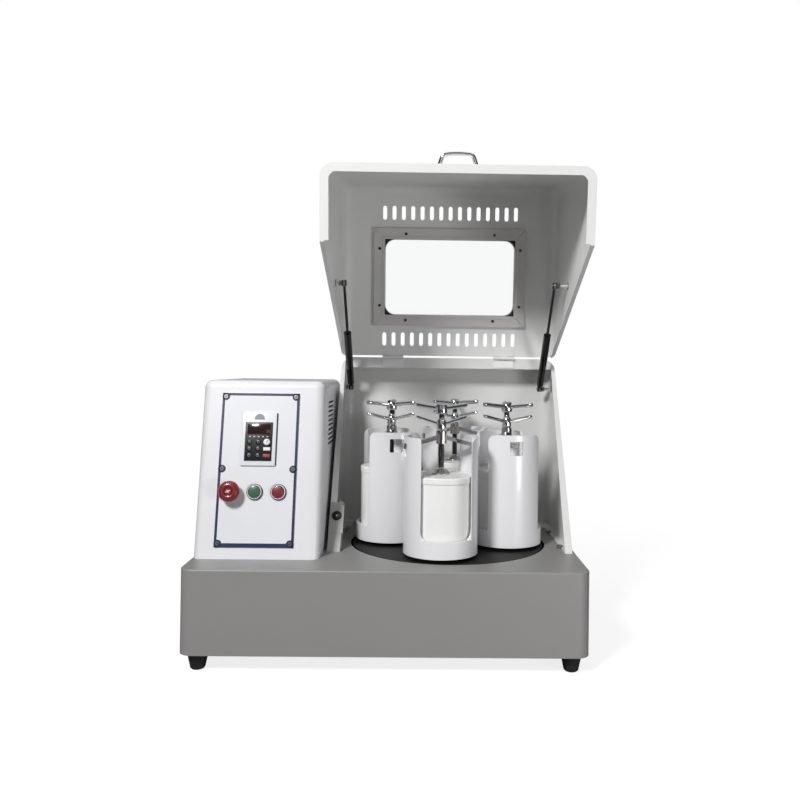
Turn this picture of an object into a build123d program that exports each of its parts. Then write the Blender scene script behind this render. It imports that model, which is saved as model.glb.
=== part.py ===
from build123d import *
from math import acos, atan2, cos, degrees, hypot, pi, radians, sin, sqrt, tan
import os

os.makedirs("parts", exist_ok=True)

# Planetary ball mill, in millimetres. +Z up, +Y to the back, +X to the right as seen from the front.
# Sizes and places are taken from the floor under the centre of the base. Saved pieces are moved together,
# so that their origin is on the floor under the middle of the whole object with the hood open.

# Sheet metal and general fits
sheet = 2.0
running_gap = 0.05
seat_gap = 0.3
wall_gap = 0.2

# Base cabinet
base_width = 750.0
base_depth = 470.0
base_height = 155.0
base_corner = 26.0
base_edge_round = 3.0
floor_plate_thickness = 3.0
foot_height = 33.0
foot_radius = 20.0
foot_round = 6.0
foot_sole_radius = 13.0
foot_inset = 31.0
base_top = foot_height + base_height
floor_top = foot_height + floor_plate_thickness

# Chamber and hood, which share one outline
chamber_width = 492.0
chamber_centre_x = 122.0
chamber_back = 230.0
chamber_corner = 25.0
chamber_height = 394.0
hood_front = -229.0
hood_rim_run = 139.0
hood_gap = 3.0
hood_open_angle = 82.4
rim_flange = 16.0
slant_flange = 8.0
chamber_front_flange = 15.0
chamber_top_flange = 8.0
chamber_floor_flange = 28.0
rail_height = 24.0
strip_drop = 1.0
chamber_left = chamber_centre_x - chamber_width / 2
chamber_right = chamber_centre_x + chamber_width / 2

# Hood hinges
hinge_y = 162.0
hinge_z = base_top + chamber_height
knuckle_radius = 4.0
leaf_thickness = 2.0
leaf_width = 48.0
leaf_length = 22.0
hinge_spacing = 257.0
hinge_pin_radius = 1.5
knuckle_share = 0.4
leaf_face = knuckle_radius + seat_gap
panel_start = 3.0
hood_length = hinge_y - hood_front
rim_drop = chamber_height - 0.5

# Window and air slots in the hood's top panel
window_width = 294.0
window_height = 170.0
window_corner = 22.0
window_centre = 184.5
frame_bar = 26.0
frame_depth = 10.0
mitre_gap = 0.6
pane_lap = 9.0
pane_thickness = 4.0
pane_gap = 0.5
slot_count = 15
slot_pitch = 21.3
slot_width = 9.0
slot_length = 31.0
lower_slot_row = 41.5
upper_slot_row = 330.0
frame_screw_radius = 4.0
frame_screw_head = 2.4
frame_screw_shank = 1.6
frame_screw_share = 0.29

# Hood handle
handle_reach = 22.0
handle_span = 66.0
handle_bar = 4.0
handle_bend = 14.0
handle_foot_radius = 8.0
handle_foot_height = 3.0
handle_from_rim = 43.0

# Gas struts, as points from the hinge axis
strut_left_inset = 20.0
strut_right_inset = 30.0
lower_ball_back = 20.0
lower_ball_drop = 71.0
upper_ball_along = 173.0
upper_ball_in = 157.0
strut_tube_radius = 8.0
strut_rod_radius = 3.0
strut_neck_radius = 4.5
strut_tube_length = 150.0
strut_eye_radius = 6.5
strut_eye_width = 10.0
strut_neck = 14.0
strut_engaged = 48.0
strut_bore_end = 10.0
stud_radius = 2.5
ball_radius = 4.2
stud_base_radius = 5.5
stud_base_height = 3.0

# Turntable and its drive
table_shift = 2.0
table_x = chamber_centre_x - table_shift
table_y = 20.0
table_radius = 200.0
table_thickness = 10.0
table_drop = 1.0
table_hole_gap = 5.0
table_hub_radius = 40.0
table_hub_height = 12.0
table_top = base_top - table_drop
table_bottom = table_top - table_thickness
gear_module = 2.5
sun_teeth = 66
planet_teeth = 33
pressure_angle = 20.0
tooth_thinning = 0.6
planet_radius = gear_module * (sun_teeth + planet_teeth) / 2
first_planet_angle = -98.5
planet_count = 4
sun_gear_width = 16.0
planet_gear_width = 14.0
gear_side_gap = 1.0
main_shaft_radius = 16.0
shaft_flange_radius = 36.0
shaft_flange_height = 8.0
shaft_top_cover = 2.0
housing_radius = 42.0
spigot_radius = 30.0
spigot_stand = 3.0
deck_bottom = 77.0
deck_thickness = 8.0
deck_margin = 18.0
deck_corner = 12.0
leg_radius = 9.0
sun_bottom = 125.0
planet_shaft_radius = 10.0
bearing_radius = 27.0
bearing_height = 26.0
bearing_flange_radius = 34.0
bearing_flange_height = 6.0
collar_radius = 17.0
seat_spigot_radius = 8.0
seat_spigot_height = 8.0

# Belt drive and motor
pulley_bottom = 45.0
pulley_height = 22.0
pulley_flange = 2.0
pulley_flange_step = 6.0
driven_pulley_radius = 70.0
motor_pulley_radius = 28.0
belt_thickness = 4.0
belt_side_gap = 0.5
shaft_tail = 4.0
motor_x = -240.0
motor_y = 60.0
motor_radius = 62.0
motor_height = 215.0
motor_flange_radius = 75.0
motor_flange_height = 10.0
motor_shaft_radius = 9.5
motor_shaft_depth = 30.0
motor_cap_height = 24.0
motor_cap_step = 5.0
motor_opening_gap = 6.0

# Jar seats, jars and clamps
jar_seat_radius = 73.5
jar_seat_wall = 6.0
jar_seat_lift = 6.0
jar_seat_floor = 12.0
jar_seat_top = 234.0
cut_width = 100.3
cut_bottom = 39.0
cut_corner = 18.0
plate_corner = 14.0
hook_window = 28.0
hook_window_centre = 207.0
hook_window_corner = 1.5
seat_turn = 19.0
jar_radius = 64.0
jar_wall = 8.0
jar_floor = 10.0
jar_rim = 147.0
jar_foot_round = 5.0
lid_radius = 65.5
lid_height = 12.0
lid_plug = 8.0
lid_round = 3.0
bridge_boss_radius = 11.0
bridge_boss_bottom = 220.0
bridge_boss_top = 244.5
bridge_arm_width = 14.0
bridge_arm_height = 8.0
bridge_hook_width = 14.0
bridge_hook_length = 10.0
bridge_hook_height = 11.0
bridge_turns = [0.0, -4.5, 0.0, 4.5]
screw_radius = 5.7
screw_tip_radius = 4.5
screw_tip_length = 8.0
screw_gap = 0.1
clamp_foot_radius = 18.0
clamp_foot_neck = 10.0
clamp_foot_rim = 3.0
clamp_foot_height = 11.0
star_arms = 3
star_reach = 60.0
star_root = 0.7
arm_end_share = 0.85
star_hub_round = 3.0
star_hub_radius = 12.0
star_hub_height = 22.0
star_arm_radius = 5.0
star_tilt = 6.0
lock_hub_radius = 10.0
lock_hub_height = 25.0
lock_arm_radius = 3.75
lock_tilt = 14.0
top_star_centre = 289.0
star_turns = [150.0, 208.0, 210.0, 207.0]

# Control box
box_left = -372.0
box_right = -132.0
box_front_bottom = -156.5
box_front_top = -92.0
box_height = 340.0
box_back = 215.0
box_corner = 16.0
box_top = base_top + box_height
box_lean = degrees(atan2(box_front_top - box_front_bottom, box_height))
louvre_count = 10
louvre_pitch = 9.5
louvre_height = 4.0
louvre_length = 90.0
louvre_front = -23.0
louvre_bottom = 209.0

# Panel, keypad and buttons, placed from the panel's centre and up its slope
panel_x = -256.0
panel_width = 152.0
panel_height = 298.0
panel_bottom = 22.0
panel_thickness = 2.0
panel_corner = 3.0
panel_screw_inset = 7.0
keypad_width = 67.0
keypad_height = 104.0
keypad_bottom = 177.0
keypad_thickness = 4.0
keypad_corner = 3.0
keypad_box_depth = 60.0
keypad_box_inset = 4.0
key_field_width = 53.0
key_field_height = 75.5
key_field_bottom = 186.5
key_field_step = 1.5
key_radius = 3.2
key_height = 1.0
key_column = 16.8
key_row = 13.2
key_first_row = 196.5
knob_radius = 6.2
knob_height = 6.0
knob_stem_radius = 2.0
knob_stem_depth = 4.0
button_height_on_panel = 127.0
button_pitch = 45.7
button_centre = -3.0
button_hole_radius = 11.2
barrel_radius = 11.0
barrel_depth = 28.0
ring_radius = 15.5
ring_height = 6.0
ring_base = 1.0
ring_bore = 12.1
button_radius = 11.7
button_bottom = 4.5
button_thickness = 3.5
button_stem_radius = 7.95
button_stem_bore = 8.0
button_stem_depth = 15.0
estop_radius = 20.5
estop_bottom = 12.0
estop_height = 16.0
estop_round = 7.0
button_edge_round = 1.0

# Interlock block on the chamber's left wall
lock_width = 29.0
lock_foot_width = 26.0
lock_height = 89.0
lock_foot_height = 33.0
lock_proud = 2.0
lock_foot_proud = 1.0
lock_depth = 27.0
lock_chamfer = 12.0
lock_chamfer_height = 8.0
catch_height = 65.0
catch_radius = 9.0
catch_proud = 0.7

# Power inlet on the base's back
inlet_x = -250.0
inlet_z = 110.0
inlet_flange_width = 58.0
inlet_flange_height = 31.0
inlet_flange_thickness = 3.0
inlet_flange_corner = 4.0
inlet_body_width = 47.0
inlet_body_height = 27.0
inlet_body_depth = 22.0
inlet_recess_width = 25.0
inlet_recess_height = 17.0
inlet_recess_depth = 16.0
inlet_recess_corner = 2.0
inlet_pin_width = 2.0
inlet_pin_height = 4.0
inlet_pin_length = 12.0
inlet_pin_pitch = 7.0

# Screws
floor_screw_radius = 6.5
floor_screw_shank = 4.0
floor_screw_head = 4.0
floor_screw_inset = 17.0
floor_screw_places = [-37.0, 112.0]
foot_screw_depth = 12.0
panel_screw_radius = 4.0
panel_screw_shank = 2.0
panel_screw_head = 2.0
screw_hole_gap = 0.1

# Directions that the hood and the struts are placed by, at rest with the hood open
hood_lean = radians(90 - hood_open_angle)
along = Vector(0, -sin(hood_lean), cos(hood_lean))
inward = Vector(0, -cos(hood_lean), -sin(hood_lean))
hinge_line = Vector(0, hinge_y, hinge_z)
rear_slope = (hood_length - hood_rim_run - strip_drop) / rim_drop


def slant_start(drop):
    """How far from the hinge line the hood's slanted edge is, at this drop below it."""
    return strip_drop + drop * rear_slope


slant_step = sqrt(1 + rear_slope**2)


# Middle of the whole object, from the open hood's rim to the inlet's flange
hood_reach = hinge_y - hood_length * sin(hood_lean) - rim_drop * cos(hood_lean)
inlet_reach = base_depth / 2 + inlet_flange_thickness
middle_y = (hood_reach + inlet_reach) / 2


def save(piece, name):
    """Saves a piece under its name, moved to the origin under the object's middle."""
    shifted = piece.part.moved(Location((0, -middle_y, 0)))
    shifted.label = name
    export_step(shifted, f"parts/{name}.step")


# Base cabinet: a folded steel box, open below
motor_place = (motor_x, motor_y)
table_place = (table_x, table_y)
foot_places = [
    (side * (base_width / 2 - foot_inset), end * (base_depth / 2 - foot_inset))
    for side in (-1, 1)
    for end in (-1, 1)
]
floor_screw_xy = [
    (wall_x, y)
    for wall_x in (chamber_left + floor_screw_inset, chamber_right - floor_screw_inset)
    for y in floor_screw_places
]
inlet_plane = Plane(origin=(inlet_x, base_depth / 2, inlet_z), x_dir=(-1, 0, 0), z_dir=(0, 1, 0))

with BuildPart() as base_shell:
    with BuildSketch(Plane.XY.offset(foot_height)):
        RectangleRounded(base_width, base_depth, base_corner)
    extrude(amount=base_height)
    fillet(base_shell.faces().sort_by(Axis.Z)[-1].edges(), radius=base_edge_round)
    with BuildSketch(Plane.XY.offset(foot_height)):
        RectangleRounded(base_width - 2 * sheet, base_depth - 2 * sheet, base_corner - sheet)
    extrude(amount=base_height - sheet, mode=Mode.SUBTRACT)
    with BuildSketch(Plane.XY.offset(base_top)):
        with Locations(table_place):
            Circle(table_radius + table_hole_gap)
        with Locations(motor_place):
            Circle(motor_radius + motor_opening_gap)
        with Locations(*floor_screw_xy):
            Circle(floor_screw_shank + screw_hole_gap)
    extrude(amount=-sheet, mode=Mode.SUBTRACT)
    with BuildSketch(inlet_plane):
        Rectangle(inlet_body_width + 2 * wall_gap, inlet_body_height + 2 * wall_gap)
    extrude(amount=-sheet, mode=Mode.SUBTRACT)
save(base_shell, "base_shell")

with BuildPart() as base_floor_plate:
    with BuildSketch(Plane.XY.offset(foot_height)):
        inset = sheet + wall_gap
        RectangleRounded(base_width - 2 * inset, base_depth - 2 * inset, base_corner - inset)
        with Locations(*foot_places):
            Circle(floor_screw_shank + screw_hole_gap, mode=Mode.SUBTRACT)
    extrude(amount=floor_plate_thickness)
save(base_floor_plate, "base_floor_plate")

foot_taper = degrees(atan2(foot_radius - foot_sole_radius, foot_height))
with BuildPart() as rubber_feet:
    with BuildSketch(Plane.XY.offset(foot_height)):
        with Locations(*foot_places):
            Circle(foot_radius)
    extrude(amount=-foot_height, taper=foot_taper)
    fillet(rubber_feet.edges().group_by(Axis.Z)[0], radius=foot_round)
    with BuildSketch(Plane.XY.offset(foot_height)):
        with Locations(*foot_places):
            Circle(floor_screw_shank + screw_hole_gap)
    extrude(amount=-foot_screw_depth, mode=Mode.SUBTRACT)
save(rubber_feet, "rubber_feet")

# Drive frame: a steel deck on legs, with the main shaft's housing and the spigot for the sun gear
leg_xs = [motor_x - motor_flange_radius + leg_radius, table_x - 125, table_x + 125]
leg_ys = [table_y - 100, table_y + 100]
deck_left = leg_xs[0] - deck_margin
deck_right = leg_xs[-1] + deck_margin
deck_front = leg_ys[0] - deck_margin
deck_back = leg_ys[-1] + deck_margin
deck_top = deck_bottom + deck_thickness
spigot_top = sun_bottom + sun_gear_width + spigot_stand

with BuildPart() as drive_frame:
    with BuildSketch(Plane.XY.offset(deck_bottom)):
        with Locations(((deck_left + deck_right) / 2, (deck_front + deck_back) / 2)):
            RectangleRounded(deck_right - deck_left, deck_back - deck_front, deck_corner)
    extrude(amount=deck_thickness)
    with BuildSketch(Plane.XY.offset(floor_top)):
        with Locations(*[(x, y) for x in leg_xs for y in leg_ys]):
            Circle(leg_radius)
    extrude(amount=deck_bottom - floor_top)
    with BuildSketch(Plane.XY.offset(deck_top)):
        with Locations(table_place):
            Circle(housing_radius)
    extrude(amount=sun_bottom - deck_top)
    with BuildSketch(Plane.XY.offset(sun_bottom)):
        with Locations(table_place):
            Circle(spigot_radius)
    extrude(amount=spigot_top - sun_bottom)
    with BuildSketch(Plane.XY.offset(deck_bottom)):
        with Locations(table_place):
            Circle(main_shaft_radius + running_gap)
    extrude(amount=spigot_top - deck_bottom, mode=Mode.SUBTRACT)
    with BuildSketch(Plane.XY.offset(deck_bottom)):
        with Locations(motor_place):
            Circle(motor_pulley_radius + pulley_flange_step)
    extrude(amount=deck_thickness, mode=Mode.SUBTRACT)
save(drive_frame, "drive_frame")


def involute(angle):
    return tan(angle) - angle


def gear_outline(teeth):
    """The edges of an involute gear with its first tooth on the X axis."""
    pitch = gear_module * teeth / 2
    base = pitch * cos(radians(pressure_angle))
    tip = pitch + gear_module
    root = pitch - 1.25 * gear_module
    flank_start = max(root, base * 1.001)
    half_tooth = pi / (2 * teeth) - tooth_thinning / (2 * pitch)

    def flank_point(radius, centre, side):
        turn = half_tooth + involute(radians(pressure_angle)) - involute(acos(base / radius))
        return (radius * cos(centre + side * turn), radius * sin(centre + side * turn))

    steps = 3
    radii = [flank_start + (tip - flank_start) * i / steps for i in range(steps + 1)]
    with BuildLine() as outline:
        for tooth in range(teeth):
            centre = 2 * pi * tooth / teeth
            rise = [flank_point(r, centre, -1) for r in radii]
            fall = [flank_point(r, centre, 1) for r in reversed(radii)]
            turn_out = atan2(fall[-1][1], fall[-1][0])
            next_in = flank_point(flank_start, centre + 2 * pi / teeth, -1)
            turn_in = atan2(next_in[1], next_in[0])
            root_out = (root * cos(turn_out), root * sin(turn_out))
            root_in = (root * cos(turn_in), root * sin(turn_in))
            root_middle = centre + pi / teeth
            Spline(*rise)
            ThreePointArc(rise[-1], (tip * cos(centre), tip * sin(centre)), fall[0])
            Spline(*fall)
            if root < flank_start:
                Line(fall[-1], root_out)
                Line(root_in, next_in)
            ThreePointArc(root_out, (root * cos(root_middle), root * sin(root_middle)), root_in)
    return outline.edges()


first_turn = radians(first_planet_angle)
sun_plane = Plane(
    origin=(table_x, table_y, sun_bottom),
    x_dir=(cos(first_turn), sin(first_turn), 0),
    z_dir=(0, 0, 1),
)
sun_outline = gear_outline(sun_teeth)
with BuildPart() as sun_gear:
    with BuildSketch(sun_plane):
        make_face(sun_outline)
        Circle(spigot_radius + running_gap, mode=Mode.SUBTRACT)
    extrude(amount=sun_gear_width)
save(sun_gear, "sun_gear")

# Chamber: a fixed back, two slant-fronted sides and a top strip that carries the hinges
strip_top = hinge_z - strip_drop
strip_front = hinge_y + leaf_face


def front_edge(height, behind):
    """Y of the line that the chamber's slanted front follows, moved back by a distance."""
    drop = hinge_z - height
    return hinge_y - slant_start(drop) + (hood_gap + behind) * slant_step


def chamber_block(wall, outline):
    """A block between the chamber's side walls, with the same rounded folds as the hood."""
    with BuildPart() as block:
        with BuildSketch(Plane.YZ.offset(chamber_left + wall)):
            with BuildLine():
                Polyline(*outline, close=True)
            make_face()
        extrude(amount=chamber_width - 2 * wall)
        block_top = block.faces().sort_by(Axis.Z)[-1]
        block_back = block.faces().sort_by(Axis.Y)[-1]
        folds = block_top.edges().filter_by(Axis.Y) + block_back.edges().filter_by(Axis.Z)
        folds = folds + block_back.edges().group_by(Axis.Z)[-1]
        fillet(folds, radius=chamber_corner - wall)
    return block.part


chamber_outside = [
    (front_edge(base_top, 0), base_top),
    (front_edge(strip_top, 0), strip_top),
    (chamber_back, strip_top),
    (chamber_back, base_top),
]
rail_bottom = strip_top - rail_height
chamber_inside = [
    (front_edge(base_top + sheet, sheet), base_top + sheet),
    (front_edge(rail_bottom, sheet), rail_bottom),
    (strip_front + sheet, rail_bottom),
    (strip_front + sheet, strip_top - sheet),
    (chamber_back - sheet, strip_top - sheet),
    (chamber_back - sheet, base_top + sheet),
]
with BuildPart() as chamber_shell:
    add(chamber_block(0, chamber_outside))
    add(chamber_block(sheet, chamber_inside), mode=Mode.SUBTRACT)
    with BuildSketch(Plane.XZ.offset(-strip_front)):
        with BuildLine():
            Polyline(
                (chamber_left + chamber_front_flange, base_top),
                (chamber_left + chamber_top_flange, strip_top),
                (chamber_right - chamber_top_flange, strip_top),
                (chamber_right - chamber_front_flange, base_top),
                close=True,
            )
        make_face()
    extrude(amount=strip_front - hood_front, mode=Mode.SUBTRACT)
    with BuildSketch(Plane.XY.offset(base_top)):
        with Locations((chamber_centre_x, (hood_front + chamber_back - sheet) / 2)):
            floor_gap_depth = chamber_back - sheet - hood_front
            Rectangle(chamber_width - 2 * chamber_floor_flange, floor_gap_depth)
        with Locations(*floor_screw_xy):
            Circle(floor_screw_shank + screw_hole_gap)
    extrude(amount=sheet, mode=Mode.SUBTRACT)
save(chamber_shell, "chamber_shell")

# Hood: drawn from the hinge line, x along the open top panel and y towards the hood's mouth
hood_side = Plane(origin=(chamber_left, hinge_y, hinge_z), x_dir=along, z_dir=(1, 0, 0))
top_panel = Plane(origin=(chamber_centre_x, hinge_y, hinge_z), x_dir=(1, 0, 0), z_dir=inward)
panel_outer = -(leaf_face + sheet)
rim_end = hood_length - hood_rim_run


def hood_block(wall, depth):
    """The hood's outline drawn in by a wall, as a closed block."""
    with BuildPart() as block:
        with BuildSketch(hood_side.offset(wall)):
            with BuildLine():
                Polyline(
                    (panel_start, panel_outer + wall),
                    (hood_length - wall, panel_outer + wall),
                    (hood_length - wall, rim_drop - wall),
                    (slant_start(rim_drop - wall) + wall * slant_step, rim_drop - wall),
                    (panel_start, (panel_start - strip_drop - wall * slant_step) / rear_slope),
                    close=True,
                )
            make_face()
        extrude(amount=depth)
        side_vertex = (hood_length - wall) * along + (panel_outer + wall) * inward + hinge_line
        corner_edges = [
            edge
            for edge in block.edges()
            if min((edge.position_at(t) - side_vertex).dot(along) ** 2 for t in (0, 1)) < 0.01
            and edge.geom_type == GeomType.LINE
        ]
        long_edges = [
            edge
            for edge in corner_edges + list(block.edges())
            if abs(edge.tangent_at(0.5).dot(along)) > 0.999
            and abs((edge.position_at(0.5) - side_vertex).dot(inward)) < 0.01
        ]
        fold_edges = [
            edge
            for edge in corner_edges
            if abs((edge.position_at(0.5) - side_vertex).dot(along)) < 0.01
            and (
                abs(edge.tangent_at(0.5).X) < 0.01
                or abs((edge.position_at(0.5) - side_vertex).dot(inward)) < 0.01
            )
        ]
        fillet(ShapeList(set(long_edges + fold_edges)), radius=chamber_corner - wall)
    return block.part


with BuildPart() as hood_shell:
    add(hood_block(0, chamber_width))
    add(hood_block(sheet, chamber_width - 2 * sheet), mode=Mode.SUBTRACT)
    with BuildSketch(hood_side.offset(rim_flange)):
        with BuildLine():
            Polyline(
                (rim_end, rim_drop - 2 * sheet),
                (hood_length - rim_flange, rim_drop - 2 * sheet),
                (hood_length - rim_flange, rim_drop + sheet),
                (rim_end, rim_drop + sheet),
                close=True,
            )
        make_face()
    extrude(amount=chamber_width - 2 * rim_flange, mode=Mode.SUBTRACT)
    with BuildSketch(hood_side.offset(slant_flange)):
        with BuildLine():
            Polyline(
                (panel_start, panel_outer + sheet),
                (slant_start(rim_drop) + 2 * sheet, rim_drop - sheet),
                (rim_end, rim_drop + sheet),
                (0, rim_drop + sheet),
                (0, panel_outer + sheet),
                close=True,
            )
        make_face()
    extrude(amount=chamber_width - 2 * slant_flange, mode=Mode.SUBTRACT)
    with BuildSketch(top_panel.offset(panel_outer)):
        with Locations((0, window_centre)):
            RectangleRounded(window_width, window_height, window_corner)
        for row in (lower_slot_row, upper_slot_row):
            with Locations((0, row)):
                with GridLocations(slot_pitch, 1, slot_count, 1):
                    SlotOverall(slot_length, slot_width, rotation=90)
    extrude(amount=sheet, mode=Mode.SUBTRACT)
save(hood_shell, "hood_shell")

# Window: a pane held to the inside of the top panel by four mitred bars
frame_width = window_width + 2 * frame_bar
frame_height = window_height + 2 * frame_bar
frame_screw_xy = [
    (side * frame_width * frame_screw_share, window_centre + end * (frame_height - frame_bar) / 2)
    for side in (-1, 1)
    for end in (-1, 1)
] + [
    (side * (frame_width - frame_bar) / 2, window_centre + end * frame_height * frame_screw_share)
    for side in (-1, 1)
    for end in (-1, 1)
]
panel_inner = panel_outer + sheet
with BuildPart() as window_frame:
    with BuildSketch(top_panel.offset(panel_inner)):
        with Locations((0, window_centre)):
            Rectangle(frame_width, frame_height)
            Rectangle(window_width, window_height, mode=Mode.SUBTRACT)
    extrude(amount=frame_depth)
    with BuildSketch(top_panel.offset(panel_inner)):
        with Locations((0, window_centre)):
            Rectangle(window_width + 2 * pane_lap, window_height + 2 * pane_lap)
    extrude(amount=pane_thickness, mode=Mode.SUBTRACT)
    with BuildSketch(top_panel.offset(panel_inner)):
        for side in (-1, 1):
            for end in (-1, 1):
                corner_x = side * (window_width + frame_bar) / 2
                corner_y = window_centre + end * (window_height + frame_bar) / 2
                with Locations((corner_x, corner_y)):
                    Rectangle(3 * frame_bar, mitre_gap, rotation=side * end * 45)
        with Locations(*frame_screw_xy):
            Circle(frame_screw_shank + screw_hole_gap)
    extrude(amount=frame_depth, mode=Mode.SUBTRACT)
save(window_frame, "window_frame")

with BuildPart() as window_pane:
    with BuildSketch(top_panel.offset(panel_inner)):
        with Locations((0, window_centre)):
            pane_side = 2 * (pane_lap - pane_gap)
            Rectangle(window_width + pane_side, window_height + pane_side)
    extrude(amount=pane_thickness)
save(window_pane, "window_pane")

# Handle: a bent bar on the hood's front panel, near the rim
handle_base = hinge_line + along * hood_length + inward * (rim_drop - handle_from_rim)
handle_base = handle_base + Vector(chamber_centre_x, 0, 0)
handle_plane = Plane(origin=handle_base, x_dir=(1, 0, 0), z_dir=inward)
handle_root = Plane(origin=handle_base, x_dir=(1, 0, 0), z_dir=along)
with BuildPart() as hood_handle:
    with BuildLine(handle_plane) as handle_path:
        FilletPolyline(
            (-handle_span / 2, 0),
            (-handle_span / 2, handle_reach),
            (handle_span / 2, handle_reach),
            (handle_span / 2, 0),
            radius=handle_bend,
        )
    with BuildSketch(handle_root):
        with Locations((-handle_span / 2, 0)):
            Circle(handle_bar)
    sweep(path=handle_path.wires()[0])
    with BuildSketch(handle_root):
        with GridLocations(handle_span, 1, 2, 1):
            Circle(handle_foot_radius)
    extrude(amount=handle_foot_height)
save(hood_handle, "hood_handle")

# Hinges: a fixed leaf on the rail, a moving leaf on the panel and a pin through both
hinge_xs = [chamber_centre_x - hinge_spacing / 2, chamber_centre_x + hinge_spacing / 2]
middle_knuckle = leaf_width * knuckle_share
end_knuckle = (leaf_width - middle_knuckle) / 2 - seat_gap
knuckle_clear = knuckle_radius + 2 * seat_gap


def knuckle_spans(width, place):
    """Start and length, along X, of the knuckles of a fixed or a moving leaf."""
    if place == "fixed":
        return [(-width / 2, end_knuckle), (width / 2 - end_knuckle, end_knuckle)]
    return [(-middle_knuckle / 2, middle_knuckle)]


def hinge_leaf(centre_x, place, down, behind):
    """One leaf with its knuckles."""
    side = 1 if Plane(origin=(0, 0, 0), x_dir=down, z_dir=(1, 0, 0)).y_dir.dot(behind) > 0 else -1
    leaf_middle = side * (leaf_face - leaf_thickness / 2)
    with BuildPart() as leaf:
        for start, length in knuckle_spans(leaf_width, place):
            knuckle_end = hinge_line + Vector(centre_x + start, 0, 0)
            with BuildSketch(Plane(origin=knuckle_end, x_dir=down, z_dir=(1, 0, 0))):
                Circle(knuckle_radius)
                with Locations((leaf_length / 4, leaf_middle)):
                    Rectangle(leaf_length / 2, leaf_thickness)
                Circle(hinge_pin_radius + running_gap, mode=Mode.SUBTRACT)
            extrude(amount=length)
        leaf_end = hinge_line + Vector(centre_x - leaf_width / 2, 0, 0)
        with BuildSketch(Plane(origin=leaf_end, x_dir=down, z_dir=(1, 0, 0))):
            with Locations(((knuckle_clear + leaf_length) / 2, leaf_middle)):
                Rectangle(leaf_length - knuckle_clear, leaf_thickness)
        extrude(amount=leaf_width)
    return leaf.part


with BuildPart() as hinge_fixed_leaves:
    for centre_x in hinge_xs:
        add(hinge_leaf(centre_x, "fixed", Vector(0, 0, -1), Vector(0, 1, 0)))
    for centre_x in hinge_xs:
        with BuildSketch(Plane.YZ.offset(centre_x - leaf_width / 2)):
            with Locations((hinge_y, hinge_z)):
                Circle(hinge_pin_radius)
        extrude(amount=leaf_width)
save(hinge_fixed_leaves, "hinge_fixed_leaves")

# Gas struts: the tube swings on the lower ball, and the rod slides in the tube
lower_ball = hinge_line + Vector(0, lower_ball_back, -lower_ball_drop)
upper_ball = hinge_line + along * upper_ball_along + inward * upper_ball_in
strut_line = (upper_ball - lower_ball).normalized()
strut_length = (upper_ball - lower_ball).length
strut_sides = [(chamber_left, 1, strut_left_inset), (chamber_right, -1, strut_right_inset)]
tube_top = strut_neck + strut_tube_length


def strut_plane(centre_x, distance):
    return Plane(
        origin=lower_ball + strut_line * distance + Vector(centre_x, 0, 0),
        x_dir=(1, 0, 0),
        z_dir=strut_line,
    )


def across_plane(wall_x, side, ball, distance):
    """A plane that faces the strut from its wall, at a distance from the wall's outside."""
    return Plane(
        origin=ball + Vector(wall_x + side * distance, 0, 0), x_dir=(0, 1, 0), z_dir=(side, 0, 0)
    )


with BuildPart() as hood_fittings:
    for centre_x in hinge_xs:
        add(hinge_leaf(centre_x, "moving", along, inward * -1))
    for wall_x, side, inset in strut_sides:
        with BuildSketch(across_plane(wall_x, side, upper_ball, sheet)):
            Circle(stud_base_radius)
        extrude(amount=stud_base_height)
        stud_length = inset - sheet - strut_eye_width / 2 - seat_gap
        with BuildSketch(across_plane(wall_x, side, upper_ball, sheet)):
            Circle(stud_radius)
        extrude(amount=stud_length)
    with BuildSketch(top_panel.offset(panel_inner + frame_depth)):
        with Locations(*frame_screw_xy):
            Circle(frame_screw_radius)
    extrude(amount=frame_screw_head)
    with BuildSketch(top_panel.offset(panel_inner)):
        with Locations(*frame_screw_xy):
            Circle(frame_screw_shank)
    extrude(amount=frame_depth)
save(hood_fittings, "hood_fittings")

with BuildPart() as strut_studs:
    for wall_x, side, inset in strut_sides:
        with BuildSketch(across_plane(wall_x, side, lower_ball, sheet)):
            Circle(stud_base_radius)
        extrude(amount=stud_base_height)
        with BuildSketch(across_plane(wall_x, side, lower_ball, sheet)):
            Circle(stud_radius)
        extrude(amount=inset - sheet)
        with Locations(across_plane(wall_x, side, lower_ball, inset)):
            Sphere(ball_radius)
save(strut_studs, "strut_studs")

with BuildPart() as strut_cylinders:
    for wall_x, side, inset in strut_sides:
        eye_start = inset - strut_eye_width / 2
        with BuildSketch(across_plane(wall_x, side, lower_ball, eye_start)):
            Circle(strut_eye_radius)
        extrude(amount=strut_eye_width)
        with BuildSketch(strut_plane(wall_x + side * inset, 0)):
            Circle(strut_neck_radius)
        extrude(amount=strut_neck)
        with BuildSketch(strut_plane(wall_x + side * inset, strut_neck)):
            Circle(strut_tube_radius)
        extrude(amount=strut_tube_length)
        with BuildSketch(strut_plane(wall_x + side * inset, tube_top)):
            Circle(strut_rod_radius + running_gap)
        extrude(amount=strut_bore_end - strut_tube_length, mode=Mode.SUBTRACT)
        with Locations(across_plane(wall_x, side, lower_ball, inset)):
            Sphere(ball_radius + running_gap, mode=Mode.SUBTRACT)
        with BuildSketch(across_plane(wall_x, side, lower_ball, inset)):
            Circle(ball_radius + running_gap)
        extrude(amount=-strut_eye_width / 2, mode=Mode.SUBTRACT)
save(strut_cylinders, "strut_cylinders")

with BuildPart() as strut_rods:
    for wall_x, side, inset in strut_sides:
        with BuildSketch(across_plane(wall_x, side, upper_ball, inset - strut_eye_width / 2)):
            Circle(strut_eye_radius)
        extrude(amount=strut_eye_width)
        with BuildSketch(strut_plane(wall_x + side * inset, tube_top - strut_engaged)):
            Circle(strut_rod_radius)
        extrude(amount=strut_length - tube_top + strut_engaged)
save(strut_rods, "strut_rods")

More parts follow.
